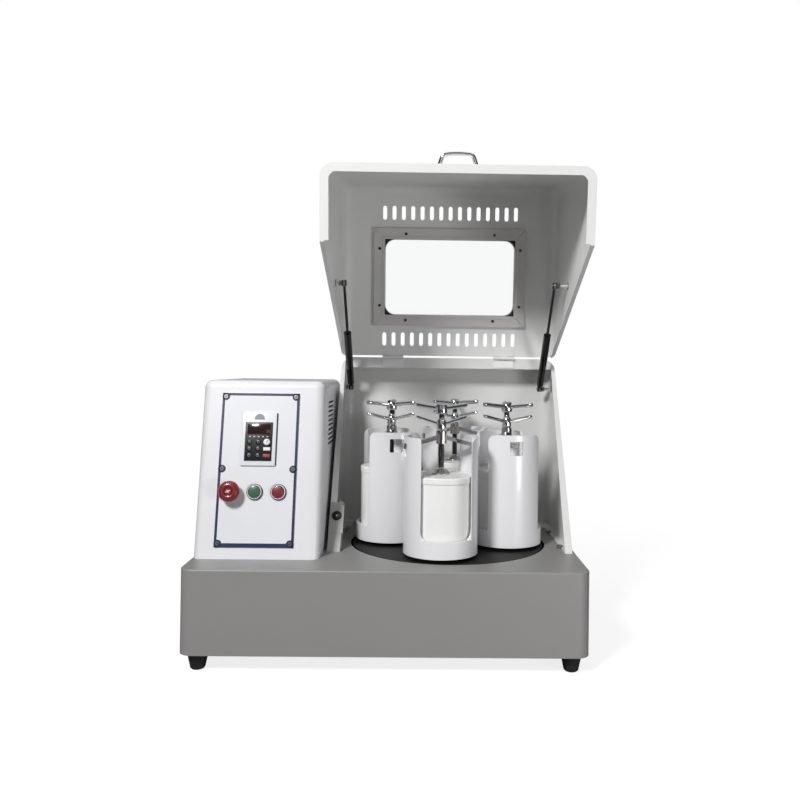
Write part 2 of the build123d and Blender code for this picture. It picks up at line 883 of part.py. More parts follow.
# Turntable: disc, main shaft with its pulley, and the bearings of the four jar shafts
planet_angles = [first_planet_angle + 360 / planet_count * k for k in range(planet_count)]
planet_places = [
    (table_x + planet_radius * cos(radians(a)), table_y + planet_radius * sin(radians(a)))
    for a in planet_angles
]
hub_bottom = table_bottom - table_hub_height
with BuildPart() as turntable_disc:
    with BuildSketch(Plane.XY.offset(table_bottom)):
        with Locations(table_place):
            Circle(table_radius)
    extrude(amount=table_thickness)
    with BuildSketch(Plane.XY.offset(hub_bottom)):
        with Locations(table_place):
            Circle(table_hub_radius)
    extrude(amount=table_hub_height)
    with BuildSketch(Plane.XY.offset(hub_bottom)):
        with Locations(table_place):
            Circle(main_shaft_radius + running_gap)
    extrude(amount=table_top - shaft_top_cover - hub_bottom, mode=Mode.SUBTRACT)
    with BuildSketch(Plane.XY.offset(table_bottom)):
        with Locations(*planet_places):
            Circle(planet_shaft_radius + running_gap)
    extrude(amount=table_thickness, mode=Mode.SUBTRACT)
save(turntable_disc, "turntable_disc")

with BuildPart() as main_shaft:
    with BuildSketch(Plane.XY.offset(pulley_bottom - shaft_tail)):
        with Locations(table_place):
            Circle(main_shaft_radius)
    extrude(amount=table_top - shaft_top_cover - pulley_bottom + shaft_tail)
    with BuildSketch(Plane.XY.offset(hub_bottom - shaft_flange_height)):
        with Locations(table_place):
            Circle(shaft_flange_radius)
    extrude(amount=shaft_flange_height)
    for bottom, height, radius in (
        (pulley_bottom, pulley_height, driven_pulley_radius),
        (pulley_bottom, pulley_flange, driven_pulley_radius + pulley_flange_step),
        (
            pulley_bottom + pulley_height - pulley_flange,
            pulley_flange,
            driven_pulley_radius + pulley_flange_step,
        ),
    ):
        with BuildSketch(Plane.XY.offset(bottom)):
            with Locations(table_place):
                Circle(radius)
        extrude(amount=height)
save(main_shaft, "main_shaft")

with BuildPart() as planet_bearings:
    with BuildSketch(Plane.XY.offset(table_bottom - bearing_height)):
        with Locations(*planet_places):
            Circle(bearing_radius)
    extrude(amount=bearing_height)
    with BuildSketch(Plane.XY.offset(table_bottom - bearing_flange_height)):
        with Locations(*planet_places):
            Circle(bearing_flange_radius)
    extrude(amount=bearing_flange_height)
    with BuildSketch(Plane.XY.offset(table_bottom - bearing_height)):
        with Locations(*planet_places):
            Circle(planet_shaft_radius + running_gap)
    extrude(amount=bearing_height, mode=Mode.SUBTRACT)
save(planet_bearings, "planet_bearings")

# Belt drive: the motor stands on the deck and rises into the control box
with BuildPart() as motor_pulley:
    for bottom, height, radius in (
        (pulley_bottom, pulley_height, motor_pulley_radius),
        (pulley_bottom, pulley_flange, motor_pulley_radius + pulley_flange_step),
        (
            pulley_bottom + pulley_height - pulley_flange,
            pulley_flange,
            motor_pulley_radius + pulley_flange_step,
        ),
        (pulley_bottom - shaft_tail, deck_top + motor_shaft_depth - pulley_bottom + shaft_tail,
         motor_shaft_radius),
    ):
        with BuildSketch(Plane.XY.offset(bottom)):
            with Locations(motor_place):
                Circle(radius)
        extrude(amount=height)
save(motor_pulley, "motor_pulley")

with BuildPart() as motor:
    with BuildSketch(Plane.XY.offset(deck_top)):
        with Locations(motor_place):
            Circle(motor_flange_radius)
    extrude(amount=motor_flange_height)
    with BuildSketch(Plane.XY.offset(deck_top)):
        with Locations(motor_place):
            Circle(motor_radius)
    extrude(amount=motor_height - motor_cap_height)
    with BuildSketch(Plane.XY.offset(deck_top + motor_height - motor_cap_height)):
        with Locations(motor_place):
            Circle(motor_radius - motor_cap_step)
    extrude(amount=motor_cap_height)
    with BuildSketch(Plane.XY.offset(deck_top)):
        with Locations(motor_place):
            Circle(motor_shaft_radius + running_gap)
    extrude(amount=motor_shaft_depth + 1, mode=Mode.SUBTRACT)
save(motor, "motor")

with BuildPart() as drive_belt:
    belt_bottom = pulley_bottom + pulley_flange + belt_side_gap
    belt_width = pulley_height - 2 * pulley_flange - 2 * belt_side_gap
    for extra, mode in ((seat_gap + belt_thickness, Mode.ADD), (seat_gap, Mode.SUBTRACT)):
        with BuildSketch(Plane.XY.offset(belt_bottom)):
            with Locations(table_place):
                Circle(driven_pulley_radius + extra)
            with Locations(motor_place):
                Circle(motor_pulley_radius + extra)
            make_hull()
        extrude(amount=belt_width, mode=mode)
save(drive_belt, "drive_belt")

# Four jar stations, a quarter turn apart
seat_bottom = base_top + jar_seat_lift
seat_floor_top = seat_bottom + jar_seat_floor
seat_top = base_top + jar_seat_top
jar_top = base_top + jar_rim
lid_top = jar_top + lid_height
boss_bottom = base_top + bridge_boss_bottom
boss_top = base_top + bridge_boss_top
hook_top = base_top + hook_window_centre + hook_window / 2
gear_bottom = sun_bottom + gear_side_gap
star_bottom = base_top + top_star_centre - star_hub_height / 2


def turned(angle, reach=1.0):
    return Vector(reach * cos(radians(angle)), reach * sin(radians(angle)), 0)


def rounded_arm(start, across, direction, radius, length):
    """A round bar with a domed far end."""
    with BuildPart() as arm:
        with BuildSketch(Plane(origin=start, x_dir=across, z_dir=direction)):
            Circle(radius)
        extrude(amount=length)
        far_edge = arm.edges().sort_by(lambda edge: (edge.center() - start).dot(direction))[-1]
        fillet(far_edge, radius=radius * arm_end_share)
    return arm.part


def star_handle(centre, bottom, hub_radius, hub_height, arm_radius, tilt, turn):
    """A hub with tilted round-ended arms."""
    with BuildPart() as star:
        with BuildSketch(Plane(origin=(centre.X, centre.Y, bottom))):
            Circle(hub_radius)
        extrude(amount=hub_height)
        fillet(star.edges().group_by(Axis.Z)[-1], radius=star_hub_round)
        middle = Vector(centre.X, centre.Y, bottom + hub_height / 2)
        arm_length = star_reach - hub_radius * star_root
        for arm in range(star_arms):
            level = turned(turn + 360 / star_arms * arm)
            direction = level * cos(radians(tilt)) + Vector(0, 0, sin(radians(tilt)))
            start = middle + direction * (hub_radius * star_root)
            across = Vector(0, 0, 1).cross(level)
            add(rounded_arm(start, across, direction, arm_radius, arm_length))
    return star.part


planet_outline = gear_outline(planet_teeth)


def jar_station(number, angle, star_turn, bridge_turn):
    centre = Vector(table_x, table_y, 0) + turned(angle, planet_radius)
    teeth_passed = (angle - first_planet_angle) * sun_teeth / 360
    mesh_turn = 180 + (teeth_passed % 1 + 0.5) * 360 / planet_teeth
    open_way = turned(angle + seat_turn)
    plate_way = turned(angle + seat_turn + 90)
    cut_plane = Plane(origin=centre, x_dir=plate_way, z_dir=open_way)
    bridge_plane = Plane(
        origin=centre,
        x_dir=turned(angle + seat_turn + 90 + bridge_turn),
        z_dir=turned(angle + seat_turn + bridge_turn),
    )
    plate_plane = Plane(origin=centre, x_dir=open_way * -1, z_dir=plate_way)

    def level_plane(height):
        return Plane(origin=centre + Vector(0, 0, height))

    with BuildPart() as planet_gear:
        gear_plane = Plane(
            origin=centre + Vector(0, 0, gear_bottom), x_dir=turned(angle + mesh_turn), z_dir=(0, 0, 1)
        )
        with BuildSketch(gear_plane):
            make_face(planet_outline)
        extrude(amount=planet_gear_width)
        shaft_bottom = gear_bottom - gear_side_gap
        with BuildSketch(level_plane(shaft_bottom)):
            Circle(planet_shaft_radius)
        extrude(amount=seat_bottom - shaft_bottom)
        with BuildSketch(level_plane(table_top + seat_gap)):
            Circle(collar_radius)
        extrude(amount=jar_seat_lift + table_drop - seat_gap)
        with BuildSketch(level_plane(seat_bottom)):
            Circle(seat_spigot_radius)
        extrude(amount=seat_spigot_height)
    save(planet_gear, f"planet_gear_{number}")

    with BuildPart() as jar_seat:
        with BuildSketch(level_plane(seat_bottom)):
            Circle(jar_seat_radius)
        extrude(amount=seat_top - seat_bottom)
        with BuildSketch(level_plane(seat_floor_top)):
            Circle(jar_seat_radius - jar_seat_wall)
        extrude(amount=seat_top - seat_floor_top, mode=Mode.SUBTRACT)
        with BuildSketch(level_plane(seat_bottom)):
            Circle(seat_spigot_radius + running_gap)
        extrude(amount=seat_spigot_height, mode=Mode.SUBTRACT)
        plate_half = sqrt(jar_seat_radius**2 - (cut_width / 2) ** 2)
        cut_floor = base_top + cut_bottom
        with BuildSketch(plate_plane):
            with BuildLine():
                FilletPolyline(
                    (-jar_seat_radius - 1, seat_bottom),
                    (-jar_seat_radius - 1, cut_floor),
                    (-plate_half, cut_floor),
                    (-plate_half, seat_top),
                    (plate_half, seat_top),
                    (plate_half, cut_floor),
                    (jar_seat_radius + 1, cut_floor),
                    (jar_seat_radius + 1, seat_bottom),
                    radius=[0, 0, plate_corner, plate_corner, 0, 0],
                )
                Line((jar_seat_radius + 1, seat_bottom), (-jar_seat_radius - 1, seat_bottom))
            make_face()
        extrude(amount=jar_seat_radius + 1, both=True, mode=Mode.INTERSECT)
        with BuildSketch(cut_plane):
            with Locations((0, (cut_floor + seat_top + cut_corner) / 2)):
                RectangleRounded(cut_width, seat_top + cut_corner - cut_floor, cut_corner)
        extrude(amount=jar_seat_radius + 1, both=True, mode=Mode.SUBTRACT)
        with BuildSketch(plate_plane):
            with Locations((0, base_top + hook_window_centre)):
                RectangleRounded(hook_window, hook_window, hook_window_corner)
        extrude(amount=jar_seat_radius + 1, both=True, mode=Mode.SUBTRACT)
    save(jar_seat, f"jar_seat_{number}")

    with BuildPart() as jar:
        with BuildSketch(level_plane(seat_floor_top)):
            Circle(jar_radius)
        extrude(amount=jar_top - seat_floor_top)
        fillet(jar.edges().group_by(Axis.Z)[0], radius=jar_foot_round)
        with BuildSketch(level_plane(seat_floor_top + jar_floor)):
            Circle(jar_radius - jar_wall)
        extrude(amount=jar_top - seat_floor_top - jar_floor, mode=Mode.SUBTRACT)
    save(jar, f"jar_{number}")

    with BuildPart() as jar_lid:
        with BuildSketch(level_plane(jar_top)):
            Circle(lid_radius)
        extrude(amount=lid_height)
        fillet(jar_lid.edges().group_by(Axis.Z)[-1], radius=lid_round)
        with BuildSketch(level_plane(jar_top)):
            Circle(jar_radius - jar_wall - running_gap)
        extrude(amount=-lid_plug)
    save(jar_lid, f"jar_lid_{number}")

    with BuildPart() as clamp_bridge:
        with BuildSketch(level_plane(boss_bottom)):
            Circle(bridge_boss_radius)
        extrude(amount=boss_top - boss_bottom)
        hook_start = jar_seat_radius - jar_seat_wall - bridge_hook_length / 2
        hook_end = jar_seat_radius + bridge_hook_length / 4
        with BuildSketch(bridge_plane):
            for side in (-1, 1):
                with BuildLine():
                    Polyline(
                        (side * bridge_boss_radius / 2, boss_top - bridge_arm_height),
                        (side * hook_start, hook_top),
                        (side * hook_start, hook_top - bridge_arm_height),
                        (side * bridge_boss_radius / 2, boss_top - 2 * bridge_arm_height),
                        close=True,
                    )
                make_face()
        extrude(amount=bridge_arm_width / 2, both=True)
        with BuildSketch(bridge_plane):
            for side in (-1, 1):
                with Locations((side * (hook_start + hook_end) / 2, hook_top - bridge_hook_height / 2)):
                    Rectangle(hook_end - hook_start, bridge_hook_height)
        extrude(amount=bridge_hook_width / 2, both=True)
        with BuildSketch(level_plane(boss_bottom)):
            Circle(screw_radius + screw_gap)
        extrude(amount=boss_top - boss_bottom, mode=Mode.SUBTRACT)
    save(clamp_bridge, f"clamp_bridge_{number}")

    with BuildPart() as clamp_foot:
        with BuildSketch(level_plane(lid_top)):
            Circle(clamp_foot_radius)
        extrude(amount=clamp_foot_rim)
        with BuildSketch(level_plane(lid_top + clamp_foot_rim)):
            Circle(clamp_foot_radius)
        with BuildSketch(level_plane(lid_top + clamp_foot_height)):
            Circle(clamp_foot_neck)
        loft()
        with BuildSketch(level_plane(lid_top + clamp_foot_height)):
            Circle(screw_tip_radius + screw_gap)
        extrude(amount=-screw_tip_length, mode=Mode.SUBTRACT)
    save(clamp_foot, f"clamp_foot_{number}")

    with BuildPart() as clamp_screw:
        tip_bottom = lid_top + clamp_foot_height - screw_tip_length
        rod_bottom = lid_top + clamp_foot_height + seat_gap
        with BuildSketch(level_plane(tip_bottom + seat_gap)):
            Circle(screw_tip_radius)
        extrude(amount=rod_bottom - tip_bottom - seat_gap)
        with BuildSketch(level_plane(rod_bottom)):
            Circle(screw_radius)
        extrude(amount=star_bottom + star_hub_height / 2 - rod_bottom)
        add(
            star_handle(
                centre,
                star_bottom,
                star_hub_radius,
                star_hub_height,
                star_arm_radius,
                star_tilt,
                star_turn,
            )
        )
    with BuildPart() as lock_star:
        add(
            star_handle(
                centre,
                boss_top,
                lock_hub_radius,
                lock_hub_height,
                lock_arm_radius,
                lock_tilt,
                star_turn,
            )
        )
        with BuildSketch(level_plane(boss_top)):
            Circle(screw_radius + running_gap)
        extrude(amount=lock_hub_height, mode=Mode.SUBTRACT)
    with BuildPart() as clamp_star:
        add(clamp_screw.part)
        add(lock_star.part)
    save(clamp_star, f"clamp_screw_{number}")


for number, turns in enumerate(zip(planet_angles, star_turns, bridge_turns), start=1):
    jar_station(number, *turns)

# Control box: a folded sheet box with its front leaning back
panel_plane = Plane(
    origin=(panel_x, box_front_bottom, base_top),
    x_dir=(1, 0, 0),
    z_dir=(0, -cos(radians(box_lean)), sin(radians(box_lean))),
)
button_row = [
    (button_centre + button_pitch * step, button_height_on_panel) for step in (-1, 0, 1)
]
panel_middle = panel_bottom + panel_height / 2
panel_screw_xy = [
    (side * (panel_width / 2 - panel_screw_inset), panel_middle + level)
    for side in (-1, 1)
    for level in (panel_screw_inset - panel_height / 2, 0, panel_height / 2 - panel_screw_inset)
]
keypad_middle = keypad_bottom + keypad_height / 2


def box_block(wall):
    lean_step = wall / cos(radians(box_lean))
    with BuildPart() as block:
        with BuildSketch(Plane.YZ.offset(box_left + wall)):
            with BuildLine():
                Polyline(
                    (box_front_bottom + lean_step, base_top),
                    (box_front_top + lean_step - wall * tan(radians(box_lean)), box_top - wall),
                    (box_back - wall, box_top - wall),
                    (box_back - wall, base_top),
                    close=True,
                )
            make_face()
        extrude(amount=box_right - box_left - 2 * wall)
        bottom_edges = block.faces().sort_by(Axis.Z)[0].edges()
        fillet(block.edges() - bottom_edges, radius=box_corner - wall)
    return block.part


with BuildPart() as control_box:
    add(box_block(0))
    add(box_block(sheet), mode=Mode.SUBTRACT)
    with BuildSketch(panel_plane):
        with Locations(*button_row):
            Circle(button_hole_radius)
        with Locations((0, keypad_middle)):
            box_opening = 2 * (keypad_box_inset - wall_gap)
            Rectangle(keypad_width - box_opening, keypad_height - box_opening)
        with Locations(*panel_screw_xy):
            Circle(panel_screw_shank + screw_hole_gap)
    extrude(amount=-2 * sheet, mode=Mode.SUBTRACT)
    with BuildSketch(Plane.YZ.offset(box_left)):
        with Locations((louvre_front + louvre_length / 2, base_top + louvre_bottom)):
            for row in range(louvre_count):
                with Locations((0, row * louvre_pitch)):
                    SlotOverall(louvre_length, louvre_height)
    extrude(amount=box_right - box_left, mode=Mode.SUBTRACT)
save(control_box, "control_box")

with BuildPart() as panel_plate:
    with BuildSketch(panel_plane):
        with Locations((0, panel_middle)):
            RectangleRounded(panel_width, panel_height, panel_corner)
        with Locations(*button_row):
            Circle(button_hole_radius, mode=Mode.SUBTRACT)
        with Locations((0, keypad_middle)):
            Rectangle(keypad_width - box_opening, keypad_height - box_opening, mode=Mode.SUBTRACT)
        with Locations(*panel_screw_xy):
            Circle(panel_screw_shank + screw_hole_gap, mode=Mode.SUBTRACT)
    extrude(amount=panel_thickness)
save(panel_plate, "panel_plate")

knob_place = (key_column, key_first_row + 2 * key_row)
key_places = [
    (column * key_column, key_first_row + row * key_row)
    for column in (-1, 0, 1)
    for row in (0, 1, 2)
    if (column, row) != (1, 2)
]
keypad_face = panel_thickness + keypad_thickness
field_face = keypad_face + key_field_step
with BuildPart() as inverter_keypad:
    with BuildSketch(panel_plane.offset(panel_thickness)):
        with Locations((0, keypad_middle)):
            RectangleRounded(keypad_width, keypad_height, keypad_corner)
    extrude(amount=keypad_thickness)
    with BuildSketch(panel_plane.offset(panel_thickness)):
        with Locations((0, keypad_middle)):
            behind = 2 * keypad_box_inset
            Rectangle(keypad_width - behind, keypad_height - behind)
    extrude(amount=-keypad_box_depth)
    with BuildSketch(panel_plane.offset(keypad_face)):
        with Locations((0, key_field_bottom + key_field_height / 2)):
            RectangleRounded(key_field_width, key_field_height, keypad_corner)
    extrude(amount=key_field_step)
    with BuildSketch(panel_plane.offset(field_face)):
        with Locations(*key_places):
            Circle(key_radius)
    extrude(amount=key_height)
    with BuildSketch(panel_plane.offset(field_face)):
        with Locations(knob_place):
            Circle(knob_stem_radius + running_gap)
    extrude(amount=-knob_stem_depth, mode=Mode.SUBTRACT)
save(inverter_keypad, "inverter_keypad")

with BuildPart() as speed_knob:
    with BuildSketch(panel_plane.offset(field_face + seat_gap)):
        with Locations(knob_place):
            Circle(knob_radius)
    extrude(amount=knob_height)
    fillet(speed_knob.edges().group_by(Axis(panel_plane.origin, panel_plane.z_dir))[-1], radius=1)
    with BuildSketch(panel_plane.offset(field_face + seat_gap)):
        with Locations(knob_place):
            Circle(knob_stem_radius)
    extrude(amount=-knob_stem_depth)
save(speed_knob, "speed_knob")

# Buttons: each cap has a stem that slides in its collar
with BuildPart() as button_collars:
    with BuildSketch(panel_plane.offset(panel_thickness)):
        with Locations(*button_row):
            Circle(ring_radius)
    extrude(amount=ring_height)
    with BuildSketch(panel_plane.offset(panel_thickness)):
        with Locations(*button_row):
            Circle(barrel_radius)
    extrude(amount=-barrel_depth)
    with BuildSketch(panel_plane.offset(panel_thickness + ring_base)):
        with Locations(*button_row):
            Circle(ring_bore)
    extrude(amount=ring_height - ring_base, mode=Mode.SUBTRACT)
    with BuildSketch(panel_plane.offset(panel_thickness + ring_base)):
        with Locations(*button_row):
            Circle(button_stem_bore)
    extrude(amount=-barrel_depth, mode=Mode.SUBTRACT)
save(button_collars, "button_collars")

panel_axis = Axis(panel_plane.origin, panel_plane.z_dir)


def push_button(place, radius, bottom, height, edge):
    """A cap with its stem, as a finished part."""
    cap_bottom = panel_thickness + bottom
    with BuildPart() as button:
        with BuildSketch(panel_plane.offset(cap_bottom)):
            with Locations(place):
                Circle(radius)
        extrude(amount=height)
        fillet(button.edges().group_by(panel_axis)[-1], radius=edge)
        with BuildSketch(panel_plane.offset(cap_bottom)):
            with Locations(place):
                Circle(button_stem_radius)
        extrude(amount=-button_stem_depth)
    return button


estop_button = push_button(button_row[0], estop_radius, estop_bottom, estop_height, estop_round)
save(estop_button, "estop_button")
start_button = push_button(
    button_row[1], button_radius, button_bottom, button_thickness, button_edge_round
)
save(start_button, "start_button")
stop_button = push_button(
    button_row[2], button_radius, button_bottom, button_thickness, button_edge_round
)
save(stop_button, "stop_button")

# Interlock block: fills the left end of the chamber's slanted front and stands proud of it
lock_left = chamber_left


def lock_slab(proud, behind, low, high, start, width):
    """A slab that follows the slanted front between two heights."""
    with BuildPart() as slab:
        with BuildSketch(Plane.YZ.offset(start)):
            with BuildLine():
                Polyline(
                    (front_edge(low, -proud), low),
                    (front_edge(high, -proud), high),
                    (front_edge(high, behind), high),
                    (front_edge(low, behind), low),
                    close=True,
                )
            make_face()
        extrude(amount=width)
    return slab.part


lock_top = base_top + lock_height
lock_step = base_top + lock_foot_height
with BuildPart() as interlock_block:
    add(lock_slab(lock_proud, 0, lock_step, lock_top, lock_left, lock_width))
    add(lock_slab(lock_foot_proud, 0, base_top, lock_step, lock_left, lock_foot_width))
    inner_start = chamber_left + chamber_front_flange
    inner_width = lock_foot_width - chamber_front_flange
    add(lock_slab(0, lock_depth, base_top + sheet, lock_top, inner_start, inner_width))
    with BuildSketch(Plane.XZ):
        with BuildLine():
            Polyline(
                (lock_left + lock_width, lock_top - lock_chamfer_height),
                (lock_left + lock_width, lock_top),
                (lock_left + lock_width - lock_chamfer, lock_top),
                close=True,
            )
        make_face()
    extrude(amount=base_depth, both=True, mode=Mode.SUBTRACT)
    catch_plane = Plane(
        origin=(lock_left + lock_width / 2, front_edge(base_top + catch_height, -lock_proud),
                base_top + catch_height),
        x_dir=(1, 0, 0),
        z_dir=(0, -1, rear_slope),
    )
    with BuildSketch(catch_plane):
        Circle(catch_radius)
    extrude(amount=catch_proud)
save(interlock_block, "interlock_block")

# Power inlet: a recessed three-pin socket in the base's back
with BuildPart() as power_inlet:
    with BuildSketch(inlet_plane):
        RectangleRounded(inlet_flange_width, inlet_flange_height, inlet_flange_corner)
    extrude(amount=inlet_flange_thickness)
    with BuildSketch(inlet_plane):
        Rectangle(inlet_body_width, inlet_body_height)
    extrude(amount=-inlet_body_depth)
    recess_plane = inlet_plane.offset(inlet_flange_thickness)
    with BuildSketch(recess_plane):
        RectangleRounded(inlet_recess_width, inlet_recess_height, inlet_recess_corner)
    extrude(amount=-inlet_recess_depth, mode=Mode.SUBTRACT)
    with BuildSketch(recess_plane.offset(-inlet_recess_depth)):
        with Locations((-inlet_pin_pitch, -2), (0, 2), (inlet_pin_pitch, -2)):
            Rectangle(inlet_pin_width, inlet_pin_height)
    extrude(amount=inlet_pin_length)
save(power_inlet, "power_inlet")

# Screws: under the panel, on the chamber's floor flanges and over the feet
with BuildPart() as fixing_screws:
    with BuildSketch(panel_plane.offset(panel_thickness)):
        with Locations(*panel_screw_xy):
            Circle(panel_screw_radius)
    extrude(amount=panel_screw_head)
    with BuildSketch(panel_plane.offset(panel_thickness)):
        with Locations(*panel_screw_xy):
            Circle(panel_screw_shank)
    extrude(amount=-panel_thickness - 2 * sheet)
    with BuildSketch(Plane.XY.offset(base_top + sheet)):
        with Locations(*floor_screw_xy):
            Circle(floor_screw_radius)
    extrude(amount=floor_screw_head)
    with BuildSketch(Plane.XY.offset(base_top + sheet)):
        with Locations(*floor_screw_xy):
            Circle(floor_screw_shank)
    extrude(amount=-4 * sheet)
    with BuildSketch(Plane.XY.offset(floor_top)):
        with Locations(*foot_places):
            Circle(floor_screw_radius)
    extrude(amount=floor_screw_head)
    with BuildSketch(Plane.XY.offset(floor_top)):
        with Locations(*foot_places):
            Circle(floor_screw_shank)
    extrude(amount=-floor_plate_thickness - foot_screw_depth)
save(fixing_screws, "fixing_screws")
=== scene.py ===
import bpy
import math
from mathutils import Matrix, Vector


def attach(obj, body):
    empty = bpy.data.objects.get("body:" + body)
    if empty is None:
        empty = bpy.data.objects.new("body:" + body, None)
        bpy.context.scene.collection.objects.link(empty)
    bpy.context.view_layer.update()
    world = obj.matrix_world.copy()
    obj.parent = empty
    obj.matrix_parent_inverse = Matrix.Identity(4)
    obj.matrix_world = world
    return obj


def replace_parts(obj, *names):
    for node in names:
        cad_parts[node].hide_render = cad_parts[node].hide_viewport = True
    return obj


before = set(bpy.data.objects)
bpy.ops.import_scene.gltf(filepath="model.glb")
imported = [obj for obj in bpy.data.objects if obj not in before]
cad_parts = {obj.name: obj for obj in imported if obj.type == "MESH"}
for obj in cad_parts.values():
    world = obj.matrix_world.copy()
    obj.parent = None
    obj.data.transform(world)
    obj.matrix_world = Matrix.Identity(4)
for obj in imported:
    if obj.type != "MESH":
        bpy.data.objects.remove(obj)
for leftover in ("Cube", "Light", "Camera"):
    if leftover in bpy.data.objects:
        bpy.data.objects.remove(bpy.data.objects[leftover])
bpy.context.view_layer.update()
mm = 0.001
print("frame loaded")

# directions of the control panel and of the open hood's top panel
panelLean = math.atan2(64.5, 340)
panelTurn = math.pi / 2 - panelLean
# depth of the whole object's middle, in front of the base's centre
middle = -20.878
panelOrigin = Vector((-256, -156.5 - middle, 188)) * mm
hoodLean = math.radians(7.6)
hoodTurn = math.pi / 2 + hoodLean
hingeLine = Vector((122, 162 - middle, 582)) * mm
tableCentre = Vector((120, 20 - middle, 0)) * mm
planetReach = 123.75 * mm


def onPanel(x, w, h):
    up = Vector((0, math.sin(panelLean), math.cos(panelLean)))
    out = Vector((0, -math.cos(panelLean), math.sin(panelLean)))
    return panelOrigin + (Vector((x, 0, 0)) + up * w + out * h) * mm


def onHood(x, s, t):
    up = Vector((0, -math.sin(hoodLean), math.cos(hoodLean)))
    into = Vector((0, -math.cos(hoodLean), -math.sin(hoodLean)))
    return hingeLine + (Vector((x, 0, 0)) + up * s + into * t) * mm


# colours and materials
def linear(hexColour):
    parts = [int(hexColour[i:i + 2], 16) / 255 for i in (1, 3, 5)]
    return [p / 12.92 if p <= 0.04045 else ((p + 0.055) / 1.055) ** 2.4 for p in parts] + [1]


def addNode(tree, kind, values=(), **links):
    node = tree.nodes.new(kind)
    for name, value in dict(values).items():
        if name in node.inputs:
            node.inputs[name].default_value = value
        else:
            setattr(node, name, value)
    for name, source in links.items():
        tree.links.new(source, node.inputs[name.replace("_", " ")])
    return node


def newMaterial(name, colour, rough, metal=0.0, coat=0.0, grain=0.0, grainSize=1.0, edge=0.5,
                patch=0.03, stretch=(1, 1, 1)):
    material = bpy.data.materials.new(name)
    material.use_nodes = True
    tree = material.node_tree
    tree.nodes.clear()
    coords = addNode(tree, "ShaderNodeTexCoord")
    spread = addNode(tree, "ShaderNodeMapping", {"Scale": stretch}, Vector=coords.outputs["Object"])
    patches = addNode(tree, "ShaderNodeTexNoise", {"Scale": 14.0, "Detail": 5.0, "Roughness": 0.6},
                      Vector=coords.outputs["Object"])
    fine = addNode(tree, "ShaderNodeTexNoise", {"Scale": 1.0 / (grainSize * mm), "Detail": 3.0},
                   Vector=spread.outputs["Vector"])
    tint = addNode(tree, "ShaderNodeMapRange", {"To Min": 1 - patch, "To Max": 1 + patch * 0.4},
                   Value=patches.outputs["Fac"])
    base = addNode(tree, "ShaderNodeVectorMath", {"operation": "SCALE"}, Scale=tint.outputs["Result"])
    base.inputs[0].default_value = linear(colour)[:3]
    roughness = addNode(tree, "ShaderNodeMapRange", {"To Min": rough * 0.88, "To Max": min(1, rough * 1.15)},
                        Value=patches.outputs["Fac"])
    rounded = addNode(tree, "ShaderNodeBevel", {"samples": 6, "Radius": edge * mm})
    bump = addNode(tree, "ShaderNodeBump", {"Strength": grain, "Distance": 0.15 * mm},
                   Height=fine.outputs["Fac"], Normal=rounded.outputs["Normal"])
    shader = addNode(tree, "ShaderNodeBsdfPrincipled", {"Metallic": metal, "Coat Weight": coat},
                     Base_Color=base.outputs["Vector"], Roughness=roughness.outputs["Result"],
                     Normal=bump.outputs["Normal"])
    output = addNode(tree, "ShaderNodeOutputMaterial", Surface=shader.outputs["BSDF"])
    return material


whitePaint = newMaterial("white_powder_coat", "#E4E4E7", 0.36, coat=0.15, grain=0.25, grainSize=1.2, edge=0.8)
hoodPaint = newMaterial("hood_enamel", "#EDEDEC", 0.38, coat=0.15, grain=0.25, grainSize=1.2, edge=0.8)
basePaint = newMaterial("grey_powder_coat", "#8F8E8D", 0.42, grain=0.35, grainSize=1.0, edge=0.8)
chamberPaint = newMaterial("chamber_enamel", "#DEDEDD", 0.34, coat=0.2, grain=0.2, grainSize=1.4, edge=0.8)
seatPaint = newMaterial("seat_enamel", "#EAEAEC", 0.32, coat=0.25, grain=0.15, grainSize=1.5, edge=0.8)
jarNylon = newMaterial("white_nylon", "#F1F1EF", 0.42, grain=0.1, grainSize=0.8, edge=0.6)
discPaint = newMaterial("black_enamel", "#030304", 0.62, coat=0.0, grain=0.15, grainSize=1.5, edge=0.6)
footRubber = newMaterial("black_rubber", "#1B1B1C", 0.62, grain=0.5, grainSize=0.7, edge=0.8)
chrome = newMaterial("polished_chrome", "#F0F0F2", 0.09, metal=1.0, grain=0.03, edge=0.4)
castSteel = newMaterial("cast_steel", "#C4C2C0", 0.20, metal=1.0, grain=0.25, grainSize=0.9, edge=0.5)
darkSteel = newMaterial("oiled_steel", "#4A4A4C", 0.30, metal=1.0, grain=0.1, edge=0.3)
satinSteel = newMaterial("satin_steel", "#9C9C9E", 0.30, metal=1.0, grain=0.15, edge=0.3)
gearSteel = newMaterial("machined_steel", "#9A9A9C", 0.34, metal=1.0, grain=0.2, edge=0.3)
primer = newMaterial("grey_primer", "#7C7C7E", 0.55, grain=0.4, edge=0.6)
framePaint = newMaterial("frame_enamel", "#D3D1CD", 0.38, coat=0.15, grain=0.25, grainSize=1.2, edge=0.8)
panelPrint = newMaterial("panel_enamel", "#E3E4E8", 0.33, coat=0.2, grain=0.1, edge=0.4)
navyInk = newMaterial("navy_ink", "#1F2A52", 0.4, edge=0.1)
keypadBlack = newMaterial("black_abs", "#121215", 0.38, grain=0.4, grainSize=0.5, edge=0.4)
# grey for the printed key symbols, and painted shade in the keypad's thumb notch
greyPrintAndShade = newMaterial("grey_keys", "#8D9097", 0.45, grain=0.2, edge=0.4)
redKey = newMaterial("red_key", "#A23338", 0.4, edge=0.4)
displayGlass = newMaterial("display_window", "#30201F", 0.12, coat=0.6, edge=0.2)
redPlastic = newMaterial("red_abs", "#83202A", 0.28, coat=0.4, grain=0.08, edge=0.6)
stopPlastic = newMaterial("red_button", "#7D2833", 0.3, coat=0.3, grain=0.08, edge=0.4)
greenPlastic = newMaterial("green_button", "#3C6350", 0.3, coat=0.3, grain=0.08, edge=0.4)
